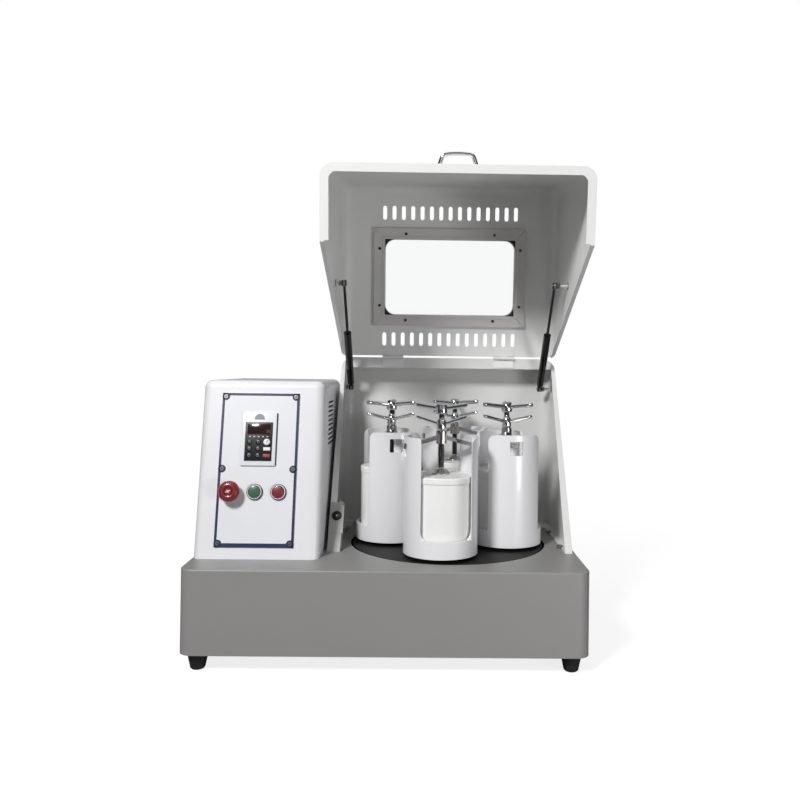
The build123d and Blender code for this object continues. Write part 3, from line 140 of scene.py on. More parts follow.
yellowPlastic = newMaterial("yellow_collar", "#C9A94A", 0.4, edge=0.4)
tubeBlack = newMaterial("black_nitrided_steel", "#151517", 0.25, metal=0.4, coat=0.4, grain=0.1, edge=0.4)
motorPaint = newMaterial("motor_paint", "#454C55", 0.45, grain=0.4, edge=0.6)
lockPlastic = newMaterial("grey_polyamide", "#A4A4A2", 0.45, grain=0.3, edge=0.6)
bronze = newMaterial("bronze_bush", "#5C5048", 0.25, metal=1.0, grain=0.1, edge=0.3)
# near-black used two ways: painted shade in the screw slots, the lock socket and beside the keypad bezel, and
# the real black print of the knob pointer and e-stop ring
shadeAndPrintBlack = newMaterial("dark_recess", "#0C0C0D", 0.7, edge=0.1)
whiteInk = newMaterial("white_ink", "#E9E9E9", 0.5, edge=0.05)


def clearMaterial(name, colour, rough):
    material = bpy.data.materials.new(name)
    material.use_nodes = True
    tree = material.node_tree
    tree.nodes.clear()
    coords = addNode(tree, "ShaderNodeTexCoord")
    smears = addNode(tree, "ShaderNodeTexNoise", {"Scale": 9.0, "Detail": 4.0},
                     Vector=coords.outputs["Object"])
    roughness = addNode(tree, "ShaderNodeMapRange", {"To Min": rough, "To Max": rough + 0.04},
                        Value=smears.outputs["Fac"])
    shader = addNode(tree, "ShaderNodeBsdfPrincipled",
                     {"Base Color": linear(colour), "Transmission Weight": 1.0, "IOR": 1.49},
                     Roughness=roughness.outputs["Result"])
    addNode(tree, "ShaderNodeOutputMaterial", Surface=shader.outputs["BSDF"])
    return material


clearAcrylic = clearMaterial("clear_acrylic", "#FBFCFC", 0.0)
print("materials made")


# modelling helpers
def clearSelection():
    if bpy.context.object and bpy.context.object.mode != "OBJECT":
        bpy.ops.object.mode_set(mode="OBJECT")
    bpy.ops.object.select_all(action="DESELECT")


def settle(obj, name, material, body):
    clearSelection()
    obj.select_set(True)
    bpy.context.view_layer.objects.active = obj
    bpy.ops.object.transform_apply(location=True, rotation=True, scale=True)
    bpy.ops.object.mode_set(mode="EDIT")
    bpy.ops.mesh.select_all(action="SELECT")
    bpy.ops.mesh.normals_make_consistent(inside=False)
    bpy.ops.object.mode_set(mode="OBJECT")
    bpy.ops.object.shade_smooth_by_angle(angle=math.radians(32))
    obj.name = name
    obj.data.name = name
    obj.data.materials.clear()
    obj.data.materials.append(material)
    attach(obj, body)
    return obj


def applyAll(obj):
    clearSelection()
    obj.select_set(True)
    bpy.context.view_layer.objects.active = obj
    for modifier in list(obj.modifiers):
        bpy.ops.object.modifier_apply(modifier=modifier.name)


def softBlock(size, place, turn=(0, 0, 0), radius=1.0, steps=3):
    clearSelection()
    bpy.ops.mesh.primitive_cube_add(size=1, location=place, rotation=turn)
    obj = bpy.context.object
    obj.scale = [s * mm for s in size]
    bpy.ops.object.transform_apply(location=False, rotation=False, scale=True)
    bevel = obj.modifiers.new("round", "BEVEL")
    bevel.width = radius * mm
    bevel.segments = steps
    applyAll(obj)
    return obj


def softCylinder(radius, depth, place, turn=(0, 0, 0), edge=0.5, sides=48, steps=2):
    clearSelection()
    bpy.ops.mesh.primitive_cylinder_add(vertices=sides, radius=radius * mm, depth=depth * mm,
                                        location=place, rotation=turn)
    obj = bpy.context.object
    if edge:
        bevel = obj.modifiers.new("round", "BEVEL")
        bevel.width = edge * mm
        bevel.segments = steps
        bevel.limit_method = "ANGLE"
        applyAll(obj)
    return obj


def turnedShape(profile, place, turn=(0, 0, 0), sides=64):
    clearSelection()
    bpy.ops.mesh.primitive_plane_add(size=1, location=(0, 0, 0))
    obj = bpy.context.object
    mesh = obj.data
    mesh.clear_geometry()
    points = [(r * mm, 0, h * mm) for r, h in profile]
    mesh.from_pydata(points, [(i, i + 1) for i in range(len(points) - 1)], [])
    bpy.ops.object.mode_set(mode="EDIT")
    bpy.ops.mesh.select_all(action="SELECT")
    bpy.ops.mesh.spin(steps=sides, angle=math.tau, center=(0, 0, 0), axis=(0, 0, 1), use_auto_merge=False)
    bpy.ops.mesh.select_all(action="SELECT")
    bpy.ops.mesh.remove_doubles(threshold=1e-6)
    bpy.ops.mesh.fill_holes(sides=0)
    bpy.ops.object.mode_set(mode="OBJECT")
    obj.location = place
    obj.rotation_euler = turn
    return obj


def joinAll(objs):
    clearSelection()
    for obj in objs:
        obj.select_set(True)
    bpy.context.view_layer.objects.active = objs[0]
    bpy.ops.object.join()
    return bpy.context.object


# materials of the CAD nodes
nodeMaterials = {
    "base_shell": basePaint, "base_floor_plate": primer, "rubber_feet": footRubber,
    "drive_frame": primer, "sun_gear": gearSteel, "chamber_shell": chamberPaint,
    "hinge_fixed_leaves": hoodPaint, "interlock_block": lockPlastic, "control_box": whitePaint,
    "panel_plate": panelPrint, "fixing_screws": satinSteel, "inverter_keypad": keypadBlack,
    "button_collars": chrome, "motor": motorPaint, "drive_belt": footRubber,
    "power_inlet": keypadBlack, "strut_studs": chrome, "turntable_disc": discPaint,
    "main_shaft": gearSteel, "planet_bearings": primer, "motor_pulley": gearSteel,
    "hood_shell": hoodPaint, "window_frame": framePaint, "window_pane": clearAcrylic,
    "hood_handle": chrome, "hood_fittings": hoodPaint, "strut_cylinders": tubeBlack,
    "strut_rods": darkSteel, "estop_button": redPlastic, "start_button": greenPlastic,
    "stop_button": stopPlastic, "speed_knob": keypadBlack,
}
stationMaterials = {
    "jar_seat": seatPaint, "planet_gear": gearSteel, "jar": jarNylon, "jar_lid": jarNylon,
    "clamp_bridge": castSteel, "clamp_foot": castSteel, "clamp_screw": chrome,
}
for number in range(1, 5):
    for stem, material in stationMaterials.items():
        nodeMaterials[f"{stem}_{number}"] = material
for node, material in nodeMaterials.items():
    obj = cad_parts[node]
    obj.data.materials.clear()
    obj.data.materials.append(material)
    clearSelection()
    obj.select_set(True)
    bpy.context.view_layer.objects.active = obj
    bpy.ops.object.shade_smooth_by_angle(angle=math.radians(30))
print("frame painted")

# control panel: navy border, screw spots, and flat dark strips of painted shade in the screw slots
border = {"half": 76.0, "low": 22.0, "high": 320.0, "side": 5.0, "bottom": 8.0, "rise": 2.04, "thick": 0.12,
          "spot": 7.4, "inset": 7.0}
tall = border["high"] - border["low"]
inkPieces = []
for side in (-1, 1):
    inkPieces.append(softBlock((border["side"], tall, border["thick"]),
                               onPanel(side * (border["half"] - border["side"] / 2),
                                       (border["low"] + border["high"]) / 2, border["rise"]),
                               (panelTurn, 0, 0), 0.03, 1))
for edge, depth in ((border["low"], border["bottom"]), (border["high"], -border["side"])):
    inkPieces.append(softBlock((2 * border["half"] - 3, abs(depth), border["thick"]),
                               onPanel(0, edge + depth / 2, border["rise"]), (panelTurn, 0, 0), 0.03, 1))
screwSpots = [(side * (border["half"] - border["inset"]), w)
              for side in (-1, 1)
              for w in (border["low"] + border["inset"], (border["low"] + border["high"]) / 2,
                        border["high"] - border["inset"])]
for x, w in screwSpots:
    inkPieces.append(softCylinder(border["spot"], border["thick"], onPanel(x, w, border["rise"]),
                                  (panelTurn, 0, 0), 0.03, 40, 1))
settle(joinAll(inkPieces), "panel_border", navyInk, "cabinet")

# the screw slots are flat near-black strips on the screw spots: painted shade standing in for the slots'
# hollows
slots = {"length": 5.2, "width": 0.9, "depth": 0.3, "height": 3.9}
slotPieces = []
for x, w in screwSpots:
    for spin in (0.4, 0.4 + math.pi / 2):
        turn = (Matrix.Rotation(panelTurn, 4, "X") @ Matrix.Rotation(spin, 4, "Z")).to_euler()
        slotPieces.append(softBlock((slots["length"], slots["width"], slots["depth"]),
                                    onPanel(x, w, slots["height"]), turn, 0.04, 1))
settle(joinAll(slotPieces), "panel_screw_slots", shadeAndPrintBlack, "cabinet")

# speed control's keypad: white bezel, black key field, display and keys
keypad = {"width": 67.0, "height": 104.0, "middle": 229.0, "thick": 4.0, "body": (59.0, 96.0, 58.0),
          "field": (53.0, 75.5, 1.5), "fieldMiddle": 224.2, "notch": 10.0, "notchAt": 268.5}
bezel = [softBlock((keypad["width"], keypad["height"], keypad["thick"]), onPanel(0, keypad["middle"], 4.0),
                   (panelTurn, 0, 0), 1.2, 4),
         softBlock(keypad["body"], onPanel(0, keypad["middle"], 2.2 - keypad["body"][2] / 2),
                   (panelTurn, 0, 0), 1.0, 2)]
bezelPiece = settle(joinAll(bezel), "keypad_bezel", panelPrint, "cabinet")
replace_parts(bezelPiece, "inverter_keypad")
field = softBlock(keypad["field"], onPanel(0, keypad["fieldMiddle"], 6.7), (panelTurn, 0, 0), 0.5, 3)
settle(field, "keypad_field", keypadBlack, "cabinet")
# the thumb notch is a flat grey half disc on the bezel: painted shade standing in for the notch's hollow
notchPlace = onPanel(0, keypad["notchAt"], 5.95)
notch = softCylinder(keypad["notch"], 0.3, notchPlace, (panelTurn, 0, 0), 0.05, 48, 1)
clearSelection()
notch.select_set(True)
bpy.context.view_layer.objects.active = notch
bpy.ops.object.transform_apply(location=True, rotation=True, scale=True)
bpy.ops.object.mode_set(mode="EDIT")
bpy.ops.mesh.select_all(action="SELECT")
bpy.ops.mesh.bisect(plane_co=onPanel(0, keypad["notchAt"] - 1.5, 6),
                    plane_no=(0, -math.sin(panelLean), -math.cos(panelLean)), use_fill=True, clear_outer=True)
bpy.ops.object.mode_set(mode="OBJECT")
settle(notch, "keypad_thumb_notch", greyPrintAndShade, "cabinet")

display = softBlock((45, 20, 0.5), onPanel(0, 248, 7.5), (panelTurn, 0, 0), 0.2, 2)
settle(display, "keypad_display", displayGlass, "cabinet")
lamps = [softBlock((3.4, 1.4, 0.3), onPanel(8.5 * place, 233.5, 7.5), (panelTurn, 0, 0), 0.1, 1)
         for place in range(-2, 3)]
settle(joinAll(lamps), "keypad_lamps", whiteInk, "cabinet")
keys = {"columns": (-16.8, 0.0), "rows": (196.5, 209.7, 222.9), "radius": 5.4, "height": 1.0}
domeProfile = [(0, 0), (keys["radius"], 0), (keys["radius"], 0.4), (keys["radius"] - 0.8, 0.9),
               (0, keys["height"])]
domes = []
rings = []
for x in keys["columns"]:
    for w in keys["rows"]:
        domes.append(turnedShape(domeProfile, onPanel(x, w, 7.4), (panelTurn, 0, 0), 32))
        clearSelection()
        bpy.ops.mesh.primitive_torus_add(major_radius=2.3 * mm, minor_radius=0.35 * mm,
                                         major_segments=28, minor_segments=6,
                                         location=onPanel(x, w, 8.3), rotation=(panelTurn, 0, 0))
        rings.append(bpy.context.object)
settle(joinAll(domes), "keypad_keys", keypadBlack, "cabinet")
settle(joinAll(rings), "keypad_marks", greyPrintAndShade, "cabinet")
for name, w, material in (("keypad_run_key", 209.7, whiteInk), ("keypad_stop_key", 196.5, redKey)):
    bar = softBlock((13.5, 6.4, 1.1), onPanel(16.8, w, 7.9), (panelTurn, 0, 0), 0.5, 4)
    settle(bar, name, material, "cabinet")

knobProfile = [(0, -3.6), (1.95, -3.6), (1.95, 0.32), (6.2, 0.32), (6.2, 4.6), (5.7, 5.6), (4.6, 6.25),
               (0, 6.25)]
knob = turnedShape(knobProfile, onPanel(16.8, 222.9, 7.5), (panelTurn, 0, 0), 48)
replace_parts(settle(knob, "speed_knob_cap", whiteInk, "speed"), "speed_knob")
pointer = softBlock((1.1, 5.0, 0.3), onPanel(18.2, 224.6, 13.72),
                    (Matrix.Rotation(panelTurn, 4, "X") @ Matrix.Rotation(-0.7, 4, "Z")).to_euler(), 0.1, 1)
settle(pointer, "speed_knob_pointer", shadeAndPrintBlack, "speed")
print("keypad made")

# push buttons: dark ring, bright ring and domed cap; red mushroom with a yellow collar
buttonRow = (-48.7, -3.0, 42.7)
buttonHeight = 127.0
darkProfile = [(8.2, -25), (10.9, -25), (10.9, 2.02), (15.5, 2.02), (15.5, 5.0), (14.6, 5.9), (12.9, 5.9),
               (12.9, 3.1), (8.2, 3.1), (8.2, -25)]
brightProfile = [(12.12, 3.2), (14.1, 5.9), (13.9, 7.4), (13.2, 7.95), (12.5, 7.6), (12.12, 3.2)]
collarProfile = [(8.2, -25), (10.9, -25), (10.9, 2.02), (15.4, 2.02), (15.4, 6.6), (14.4, 7.9), (8.2, 7.9),
                 (8.2, -25)]
mushroomProfile = [(0, -1), (7.9, -1), (7.9, 14.1), (17.2, 14.1), (19.6, 15.6), (20.45, 18.6), (20.2, 22.4),
                   (18.6, 26.0), (15.6, 28.6), (12.2, 29.6), (9.6, 29.3), (9.0, 28.9), (0, 28.9)]
capProfile = [(0, -8.4), (7.9, -8.4), (7.9, 6.52), (11.5, 6.52), (11.65, 8.4), (11.2, 9.3), (9.6, 9.75),
              (0, 9.95)]
darkRings = []
brightRings = []
for x in buttonRow[1:]:
    darkRings.append(turnedShape(darkProfile, onPanel(x, buttonHeight, 0), (panelTurn, 0, 0), 56))
    brightRings.append(turnedShape(brightProfile, onPanel(x, buttonHeight, 0), (panelTurn, 0, 0), 56))
darkPiece = settle(joinAll(darkRings), "button_dark_rings", keypadBlack, "cabinet")
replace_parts(darkPiece, "button_collars")
settle(joinAll(brightRings), "button_bright_rings", whiteInk, "cabinet")
collar = turnedShape(collarProfile, onPanel(buttonRow[0], buttonHeight, 0), (panelTurn, 0, 0), 56)
settle(collar, "estop_collar", yellowPlastic, "cabinet")

mushroom = turnedShape(mushroomProfile, onPanel(buttonRow[0], buttonHeight, 0), (panelTurn, 0, 0), 72)
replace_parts(settle(mushroom, "estop_mushroom", redPlastic, "estop"), "estop_button")
clearSelection()
bpy.ops.mesh.primitive_torus_add(major_radius=7.6 * mm, minor_radius=0.9 * mm, major_segments=40,
                                 minor_segments=8, location=onPanel(buttonRow[0], buttonHeight, 28.9),
                                 rotation=(panelTurn, 0, 0))
settle(bpy.context.object, "estop_ring", shadeAndPrintBlack, "estop")
arrows = []
for side in (-1, 1):
    level = buttonHeight + side * 1.3
    shaftPlace = onPanel(buttonRow[0] + side * 2.6, level, 29.0)
    shaft = softBlock((4.4, 1.3, 0.3), shaftPlace, (panelTurn, 0, 0), 0.1, 1)
    headTurn = Matrix.Rotation(panelTurn, 4, "X") @ Matrix.Rotation(side * math.pi / 2, 4, "Z")
    clearSelection()
    bpy.ops.mesh.primitive_cylinder_add(vertices=3, radius=2.0 * mm, depth=0.3 * mm,
                                        location=onPanel(buttonRow[0] - side * 1.2, level, 29.0),
                                        rotation=headTurn.to_euler())
    arrows.extend((shaft, bpy.context.object))
settle(joinAll(arrows), "estop_arrows", whiteInk, "estop")

for name, node, x, material, body in (("start_cap", "start_button", buttonRow[1], greenPlastic, "start"),
                                      ("stop_cap", "stop_button", buttonRow[2], stopPlastic, "stop")):
    cap = turnedShape(capProfile, onPanel(x, buttonHeight, 0), (panelTurn, 0, 0), 56)
    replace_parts(settle(cap, name, material, body), node)
print("buttons made")

# clamp stars, threaded rods and lock stars
station = {"angles": (-98.5, -8.5, 81.5, 171.5), "stars": (150.0, 208.0, 210.0, 207.0)}
starShape = {"reach": 59.8, "arm": 4.9, "tilt": 6.0, "hub": 11.8, "low": 466.0, "tall": 22.0}
lockShape = {"reach": 59.8, "arm": 3.7, "tilt": 14.0, "hub": 9.8, "low": 432.6, "tall": 24.8}


def makeStar(centre, shape, turn, hole):
    hub = shape["hub"]
    tall = shape["tall"]
    profile = [(hole, 0), (hub - 2.2, 0), (hub - 0.6, 1.4), (hub, 4.0), (hub, tall * 0.62),
               (hub - 1.4, tall * 0.84), (hub - 4.2, tall - 0.6), (hole, tall)]
    if hole:
        profile.append((hole, 0))
    pieces = [turnedShape(profile, centre + Vector((0, 0, shape["low"])) * mm, (0, 0, 0), 48)]
    tilt = math.radians(shape["tilt"])
    for arm in range(3):
        level = math.radians(turn + 120 * arm)
        way = Vector((math.cos(level) * math.cos(tilt), math.sin(level) * math.cos(tilt), math.sin(tilt)))
        start = centre + (Vector((0, 0, shape["low"] + tall / 2)) + way * hub * 0.7) * mm
        long = shape["reach"] - hub * 0.7
        r = shape["arm"]
        armProfile = [(0, 0), (r, 0), (r, 2.0), (r * 0.95, 6.0), (r * 0.94, long * 0.6),
                      (r * 0.99, long - 2.2 * r), (r, long - 1.2 * r), (r * 0.9, long - 0.5 * r),
                      (r * 0.6, long - 0.14 * r), (0, long)]
        pieces.append(turnedShape(armProfile, start, way.to_track_quat("Z", "Y").to_euler(), 28))
    return joinAll(pieces)


def makeThread(centre, bottom, top, radius, pitch):
    clearSelection()
    bpy.ops.mesh.primitive_plane_add(size=1, location=(0, 0, 0))
    obj = bpy.context.object
    obj.data.clear_geometry()
    groove = radius - 0.75
    points = [(radius * mm, 0, 0), (radius * mm, 0, pitch * 0.3 * mm), (groove * mm, 0, pitch * 0.55 * mm),
              (groove * mm, 0, pitch * 0.75 * mm), (radius * mm, 0, pitch * mm)]
    obj.data.from_pydata(points, [(i, i + 1) for i in range(len(points) - 1)], [])
    screw = obj.modifiers.new("screw", "SCREW")
    screw.axis = "Z"
    screw.screw_offset = pitch * mm
    screw.iterations = int((top - bottom) / pitch)
    screw.steps = 28
    screw.use_merge_vertices = True
    applyAll(obj)
    obj.location = centre + Vector((0, 0, bottom)) * mm
    return obj


for number, (angle, turn) in enumerate(zip(station["angles"], station["stars"]), start=1):
    level = math.radians(angle)
    centre = tableCentre + Vector((math.cos(level), math.sin(level), 0)) * planetReach
    star = joinAll([makeStar(centre, starShape, turn, 0), makeStar(centre, lockShape, turn, 5.75)])
    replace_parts(settle(star, f"clamp_star_{number}", chrome, f"screw_{number}"), f"clamp_screw_{number}")
    thread = makeThread(centre, 359, 471, 5.65, 2.0)
    tip = softCylinder(4.4, 7.6, centre + Vector((0, 0, 354.4)) * mm, (0, 0, 0), 0.4, 32, 2)
    settle(joinAll([thread, tip]), f"clamp_thread_{number}", darkSteel, f"screw_{number}")
print("clamps made")

# window frame: raised inner lip, dark corner pads and screw recesses
window = {"width": 294.0, "height": 170.0, "middle": 184.5, "corner": 22.0, "face": 5.7, "lip": 7.5,
          "rise": 1.6, "bar": 26.0, "share": 0.29, "screw": 3.5}
lips = []
for side in (-1, 1):
    across = side * (window["width"] + window["lip"]) / 2
    along = window["middle"] + side * (window["height"] + window["lip"]) / 2
    lips.append(softBlock((window["lip"], window["height"] + 2 * window["lip"], 2 * window["rise"]),
                          onHood(across, window["middle"], window["face"]), (hoodTurn, 0, 0), 1.1, 3))
    lips.append(softBlock((window["width"], window["lip"], 2 * window["rise"]),
                          onHood(0, along, window["face"]), (hoodTurn, 0, 0), 1.1, 3))
settle(joinAll(lips), "window_lip", framePaint, "hood")


def makeGusset(place, turn, radius, thick, sideX, sideY):
    clearSelection()
    bpy.ops.mesh.primitive_plane_add(size=1, location=(0, 0, 0))
    obj = bpy.context.object
    obj.data.clear_geometry()
    arc = [math.radians(90 - 90 * i / 16) for i in range(17)]
    reach = radius * mm
    points = [(0, 0, 0)]
    for a in arc:
        points.append((sideX * reach * (math.cos(a) - 1), sideY * reach * (math.sin(a) - 1), 0))
    obj.data.from_pydata(points, [], [tuple(range(len(points)))])
    solid = obj.modifiers.new("thickness", "SOLIDIFY")
    solid.thickness = thick * mm
    solid.offset = 0
    applyAll(obj)
    obj.location = place
    obj.rotation_euler = turn
    return obj


pads = []
for side in (-1, 1):
    for end in (-1, 1):
        across = side * (window["width"] / 2 + 1)
        along = window["middle"] + end * (window["height"] / 2 + 1)
        pads.append(makeGusset(onHood(across, along, window["face"] + 1.9), (hoodTurn, 0, 0),
                               window["corner"] + 1, 0.8, side, end))
settle(joinAll(pads), "window_corner_pads", footRubber, "hood")
frameWide = window["width"] + 2 * window["bar"]
frameTall = window["height"] + 2 * window["bar"]
recesses = []
for side in (-1, 1):
    for end in (-1, 1):
        for x, s in ((side * frameWide * window["share"], end * (frameTall - window["bar"]) / 2),
                     (side * (frameWide - window["bar"]) / 2, end * frameTall * window["share"])):
            top = onHood(x, window["middle"] + s, window["face"] + 2.5)
            recesses.append(softCylinder(window["screw"], 0.4, top, (hoodTurn, 0, 0), 0.1, 24, 1))
settle(joinAll(recesses), "window_screw_tops", darkSteel, "hood")

# rounded inner corners of the hood's rim
rim = {"half": 230.0, "top": 375.0, "face": 392.6, "radius": 17.0, "thick": 1.6}
corners = [makeGusset(onHood(side * (rim["half"] + 1), rim["top"] + 1, rim["face"]), (hoodTurn, 0, 0),
                      rim["radius"], rim["thick"], side, 1) for side in (-1, 1)]
settle(joinAll(corners), "rim_corners", hoodPaint, "hood")

# carrying handle: a bent tube with legs that lean outwards, on round feet
grip = {"foot": (122.0, -237.2 - middle, 923.3), "legs": 35.0, "top": 22.0, "rise": 22.0, "tube": 4.0,
        "disc": 8.0}
gripUp = Vector((0, -math.sin(hoodLean), math.cos(hoodLean)))
gripFoot = Vector(grip["foot"]) * mm
clearSelection()
bpy.ops.curve.primitive_bezier_curve_add(location=(0, 0, 0))
gripCurve = bpy.context.object
spline = gripCurve.data.splines[0]
spline.bezier_points.add(2)
stops = ((-grip["legs"], 1.0, (-5.5, 9.0)), (-grip["top"], grip["rise"], (9.0, 2.0)),
         (grip["top"], grip["rise"], (9.0, -2.0)), (grip["legs"], 1.0, (5.5, -9.0)))
for point, (x, rise, pull) in zip(spline.bezier_points, stops):
    point.handle_left_type = point.handle_right_type = "FREE"
    centre = gripFoot + Vector((x, 0, 0)) * mm + gripUp * rise * mm
    way = Vector((abs(pull[0]), 0, 0)) + gripUp * pull[1]
    point.co = centre
    point.handle_left = centre - way * mm
    point.handle_right = centre + way * mm
gripCurve.data.dimensions = "3D"
gripCurve.data.resolution_u = 20
gripCurve.data.bevel_depth = grip["tube"] * mm
gripCurve.data.bevel_resolution = 10
gripCurve.data.use_fill_caps = True
bpy.ops.object.convert(target="MESH")
gripPieces = [bpy.context.object]
for side in (-1, 1):
    discPlace = gripFoot + Vector((side * (grip["legs"] - 1), 0, 0)) * mm + gripUp * 1.5 * mm
    gripPieces.append(softCylinder(grip["disc"], 3.0, discPlace, (hoodLean, 0, 0), 0.8, 40, 3))
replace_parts(settle(joinAll(gripPieces), "carrying_handle", chrome, "hood"), "hood_handle")

# gas struts: ball ends, nuts and washers
strutEnds = {"low": (182.0 - middle, 511.0), "high": (-16.5 - middle, 732.7), "ball": 6.9, "nut": 6.2,
             "washer": 7.6}
lanes = ((-104.0, -122.0, -1), (338.0, 366.0, 1))
for end, ballBody, nutBody in (("low", "strut_tubes", "cabinet"), ("high", "strut_pistons", "hood")):
    y, z = strutEnds[end]
    balls = []
    nuts = []
    for x, wallX, side in lanes:
        clearSelection()
        bpy.ops.mesh.primitive_uv_sphere_add(segments=32, ring_count=20, radius=strutEnds["ball"] * mm,
                                             location=Vector((x, y, z)) * mm)
        balls.append(bpy.context.object)
        nutPlace = Vector((x + side * 9.2, y, z)) * mm
        washerPlace = Vector((wallX - side * 0.9, y, z)) * mm
        nuts.append(softCylinder(strutEnds["nut"], 4.0, nutPlace, (0, math.pi / 2, 0), 0.4, 6, 2))
        nuts.append(softCylinder(strutEnds["washer"], 1.4, washerPlace, (0, math.pi / 2, 0), 0.3, 32, 2))
    settle(joinAll(balls), f"strut_balls_{end}", satinSteel, ballBody)
    settle(joinAll(nuts), f"strut_nuts_{end}", satinSteel, nutBody)

# safety lock: bronze ring, a flat dark disc of painted shade in the socket, and key cylinder on the block's
# leaning front
lockLean = math.atan(0.6379)
lockFront = Vector((-109.5, -48.4 - middle, 253.0)) * mm
lockOut = Vector((0, -math.cos(lockLean), math.sin(lockLean)))
lockTurn = math.pi / 2 - lockLean
ringProfile = [(6.4, -0.4), (9.6, -0.4), (10.4, -0.2), (10.3, 0.1), (9.4, 0.28), (7.2, 0.28), (6.4, 0.1),
               (6.4, -0.4)]
keyPlace = lockFront + (lockOut * 0.2 + Vector((1.6, 0, -0.6))) * mm
settle(turnedShape(ringProfile, lockFront, (lockTurn, 0, 0), 56), "lock_ring", bronze, "cabinet")
settle(softCylinder(6.4, 0.8, lockFront - lockOut * 0.2 * mm, (lockTurn, 0, 0), 0.1, 40, 1), "lock_socket",
       shadeAndPrintBlack, "cabinet")
settle(softCylinder(3.0, 2.2, keyPlace, (lockTurn, 0, 0), 0.5, 32, 3), "lock_key_cylinder", chrome, "cabinet")

# painted shadow: a dark strip beside the keypad's bezel where its shade falls
settle(softBlock((1.5, keypad["height"] - 1, 2.2), onPanel(keypad["width"] / 2 + 0.9, keypad["middle"], 3.2),
                 (panelTurn, 0, 0), 0.2, 1), "keypad_gap", shadeAndPrintBlack, "cabinet")
print("hood, struts and lock dressed")

# camera, light and stage
cameraData = bpy.data.cameras.new("camera")
camera = bpy.data.objects.new("camera", cameraData)
bpy.context.scene.collection.objects.link(camera)
bpy.context.scene.camera = camera
view = {"place": (61.8, -1653.3 - middle, 554.9), "yaw": -0.84, "pitch": -0.65, "roll": 0.72, "focus": 781.2,
        "middle": (433.8, 360.3), "frame": 800.0, "sensor": 36.0}
yaw, pitch, roll = [math.radians(view[k]) for k in ("yaw", "pitch", "roll")]
ahead = Vector((-math.sin(yaw), math.cos(yaw), 0))
right = Vector((math.cos(yaw), math.sin(yaw), 0))
upward = Vector((0, 0, 1)) * math.cos(pitch) + ahead * math.sin(pitch)
look = ahead * math.cos(pitch) - Vector((0, 0, 1)) * math.sin(pitch)
rightRolled = right * math.cos(roll) + upward * math.sin(roll)
upRolled = upward * math.cos(roll) - right * math.sin(roll)
turned = Matrix((rightRolled, upRolled, -look)).transposed().to_4x4()
camera.matrix_world = Matrix.Translation(Vector(view["place"]) * mm) @ turned
cameraData.sensor_width = view["sensor"]
cameraData.lens = view["focus"] / view["frame"] * view["sensor"]
cameraData.shift_x = 0.5 - view["middle"][0] / view["frame"]
cameraData.shift_y = view["middle"][1] / view["frame"] - 0.5
cameraData.clip_start = 0.05
cameraData.clip_end = 60


def areaLight(name, place, target, width, height, power, colour="#FFFFFF"):
    data = bpy.data.lights.new(name, "AREA")
    data.shape = "RECTANGLE"
    data.size = width
    data.size_y = height
    data.energy = power
    data.color = linear(colour)[:3]
    obj = bpy.data.objects.new(name, data)
    obj.location = place
    obj.rotation_euler = (Vector(target) - Vector(place)).to_track_quat("-Z", "Y").to_euler()
    bpy.context.scene.collection.objects.link(obj)
    return obj


areaLight("key", (-1.13, -2.17, 2.08), (0.12, 0.0, 0.45), 0.5, 0.5, 74)
areaLight("front", (0.6, -3.4, 0.9), (0.1, 0.0, 0.5), 1.4, 0.8, 3)
areaLight("side", (1.05, -1.15, 0.25), (0.42, -0.21, 0.1), 0.4, 0.3, 5.5)
areaLight("top", (0.1, 0.2, 2.7), (0.1, 0.1, 0.3), 2.6, 2.2, 18)
areaLight("rear", (0.4, 2.6, 1.9), (0.1, 0.0, 0.5), 1.8, 1.0, 8)

world = bpy.data.worlds.new("studio")
bpy.context.scene.world = world
world.use_nodes = True
sky = world.node_tree
sky.nodes.clear()
rays = addNode(sky, "ShaderNodeLightPath")
seen = addNode(sky, "ShaderNodeMath", {"operation": "MAXIMUM"})
sky.links.new(rays.outputs["Is Camera Ray"], seen.inputs[0])
sky.links.new(rays.outputs["Is Transmission Ray"], seen.inputs[1])
gloss = addNode(sky, "ShaderNodeMapRange", {"To Min": 0.08, "To Max": 0.06},
                Value=rays.outputs["Is Glossy Ray"])
dim = addNode(sky, "ShaderNodeBackground", {"Color": linear("#F6F6F7")}, Strength=gloss.outputs["Result"])
white = addNode(sky, "ShaderNodeBackground", {"Color": (1, 1, 1, 1), "Strength": 1.0})
mixed = addNode(sky, "ShaderNodeMixShader", Fac=seen.outputs["Value"])
sky.links.new(dim.outputs["Background"], mixed.inputs[1])
sky.links.new(white.outputs["Background"], mixed.inputs[2])
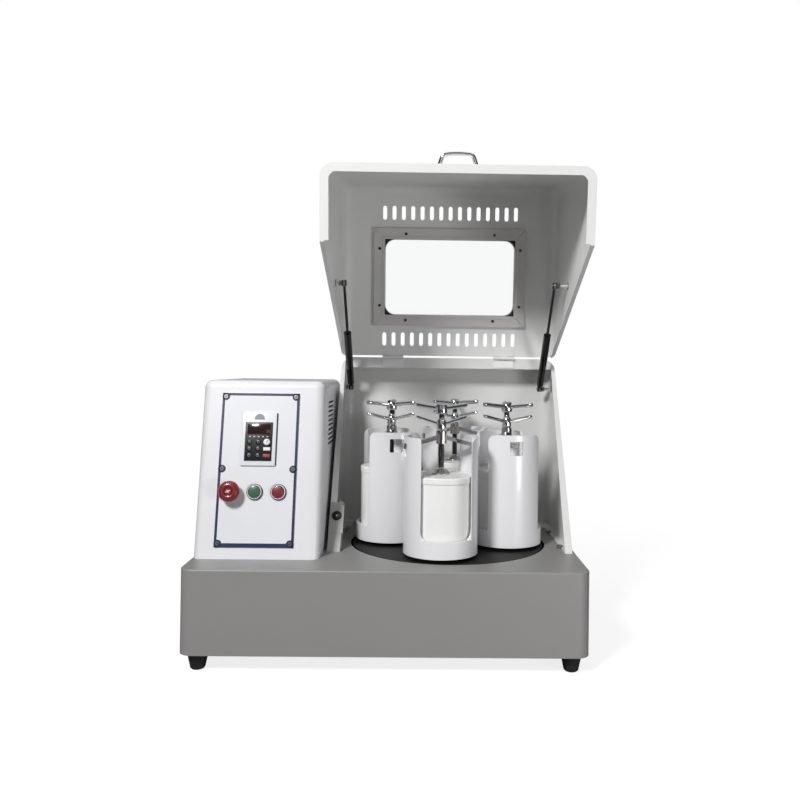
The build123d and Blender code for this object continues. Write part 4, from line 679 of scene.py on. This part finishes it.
addNode(sky, "ShaderNodeOutputWorld", Surface=mixed.outputs["Shader"])

clearSelection()
bpy.ops.mesh.primitive_circle_add(vertices=96, radius=2.2, fill_type="NGON", location=(0, 0, -0.0005))
floor = bpy.context.object
floor.name = "floor"
floorMaterial = bpy.data.materials.new("studio_floor")
floorMaterial.use_nodes = True
tree = floorMaterial.node_tree
tree.nodes.clear()
coords = addNode(tree, "ShaderNodeTexCoord")
distance = addNode(tree, "ShaderNodeVectorMath", {"operation": "LENGTH"})
tree.links.new(coords.outputs["Object"], distance.inputs[0])
fade = addNode(tree, "ShaderNodeMapRange", {"From Min": 0.55, "From Max": 1.5, "To Min": 0.0, "To Max": 1.0},
               Value=distance.outputs["Value"])
floorRays = addNode(tree, "ShaderNodeLightPath")
floorTone = addNode(tree, "ShaderNodeMapRange", {"To Min": 0.30, "To Max": 0.34},
                    Value=floorRays.outputs["Is Camera Ray"])
floorGlow = addNode(tree, "ShaderNodeMapRange", {"To Min": 0.0, "To Max": 0.82},
                    Value=floorRays.outputs["Is Camera Ray"])
floorColour = addNode(tree, "ShaderNodeVectorMath", {"operation": "SCALE"}, Scale=floorTone.outputs["Result"])
floorColour.inputs[0].default_value = (1, 1, 1)
matte = addNode(tree, "ShaderNodeBsdfDiffuse", Color=floorColour.outputs["Vector"])
glow = addNode(tree, "ShaderNodeEmission", {"Color": (1, 1, 1, 1)}, Strength=floorGlow.outputs["Result"])
lit = addNode(tree, "ShaderNodeAddShader")
tree.links.new(matte.outputs["BSDF"], lit.inputs[0])
tree.links.new(glow.outputs["Emission"], lit.inputs[1])
clear = addNode(tree, "ShaderNodeBsdfTransparent")
faded = addNode(tree, "ShaderNodeMixShader", Fac=fade.outputs["Result"])
tree.links.new(lit.outputs["Shader"], faded.inputs[1])
tree.links.new(clear.outputs["BSDF"], faded.inputs[2])
addNode(tree, "ShaderNodeOutputMaterial", Surface=faded.outputs["Shader"])
floor.data.materials.append(floorMaterial)

scene = bpy.context.scene
scene.view_settings.view_transform = "Standard"
print("scene ready")
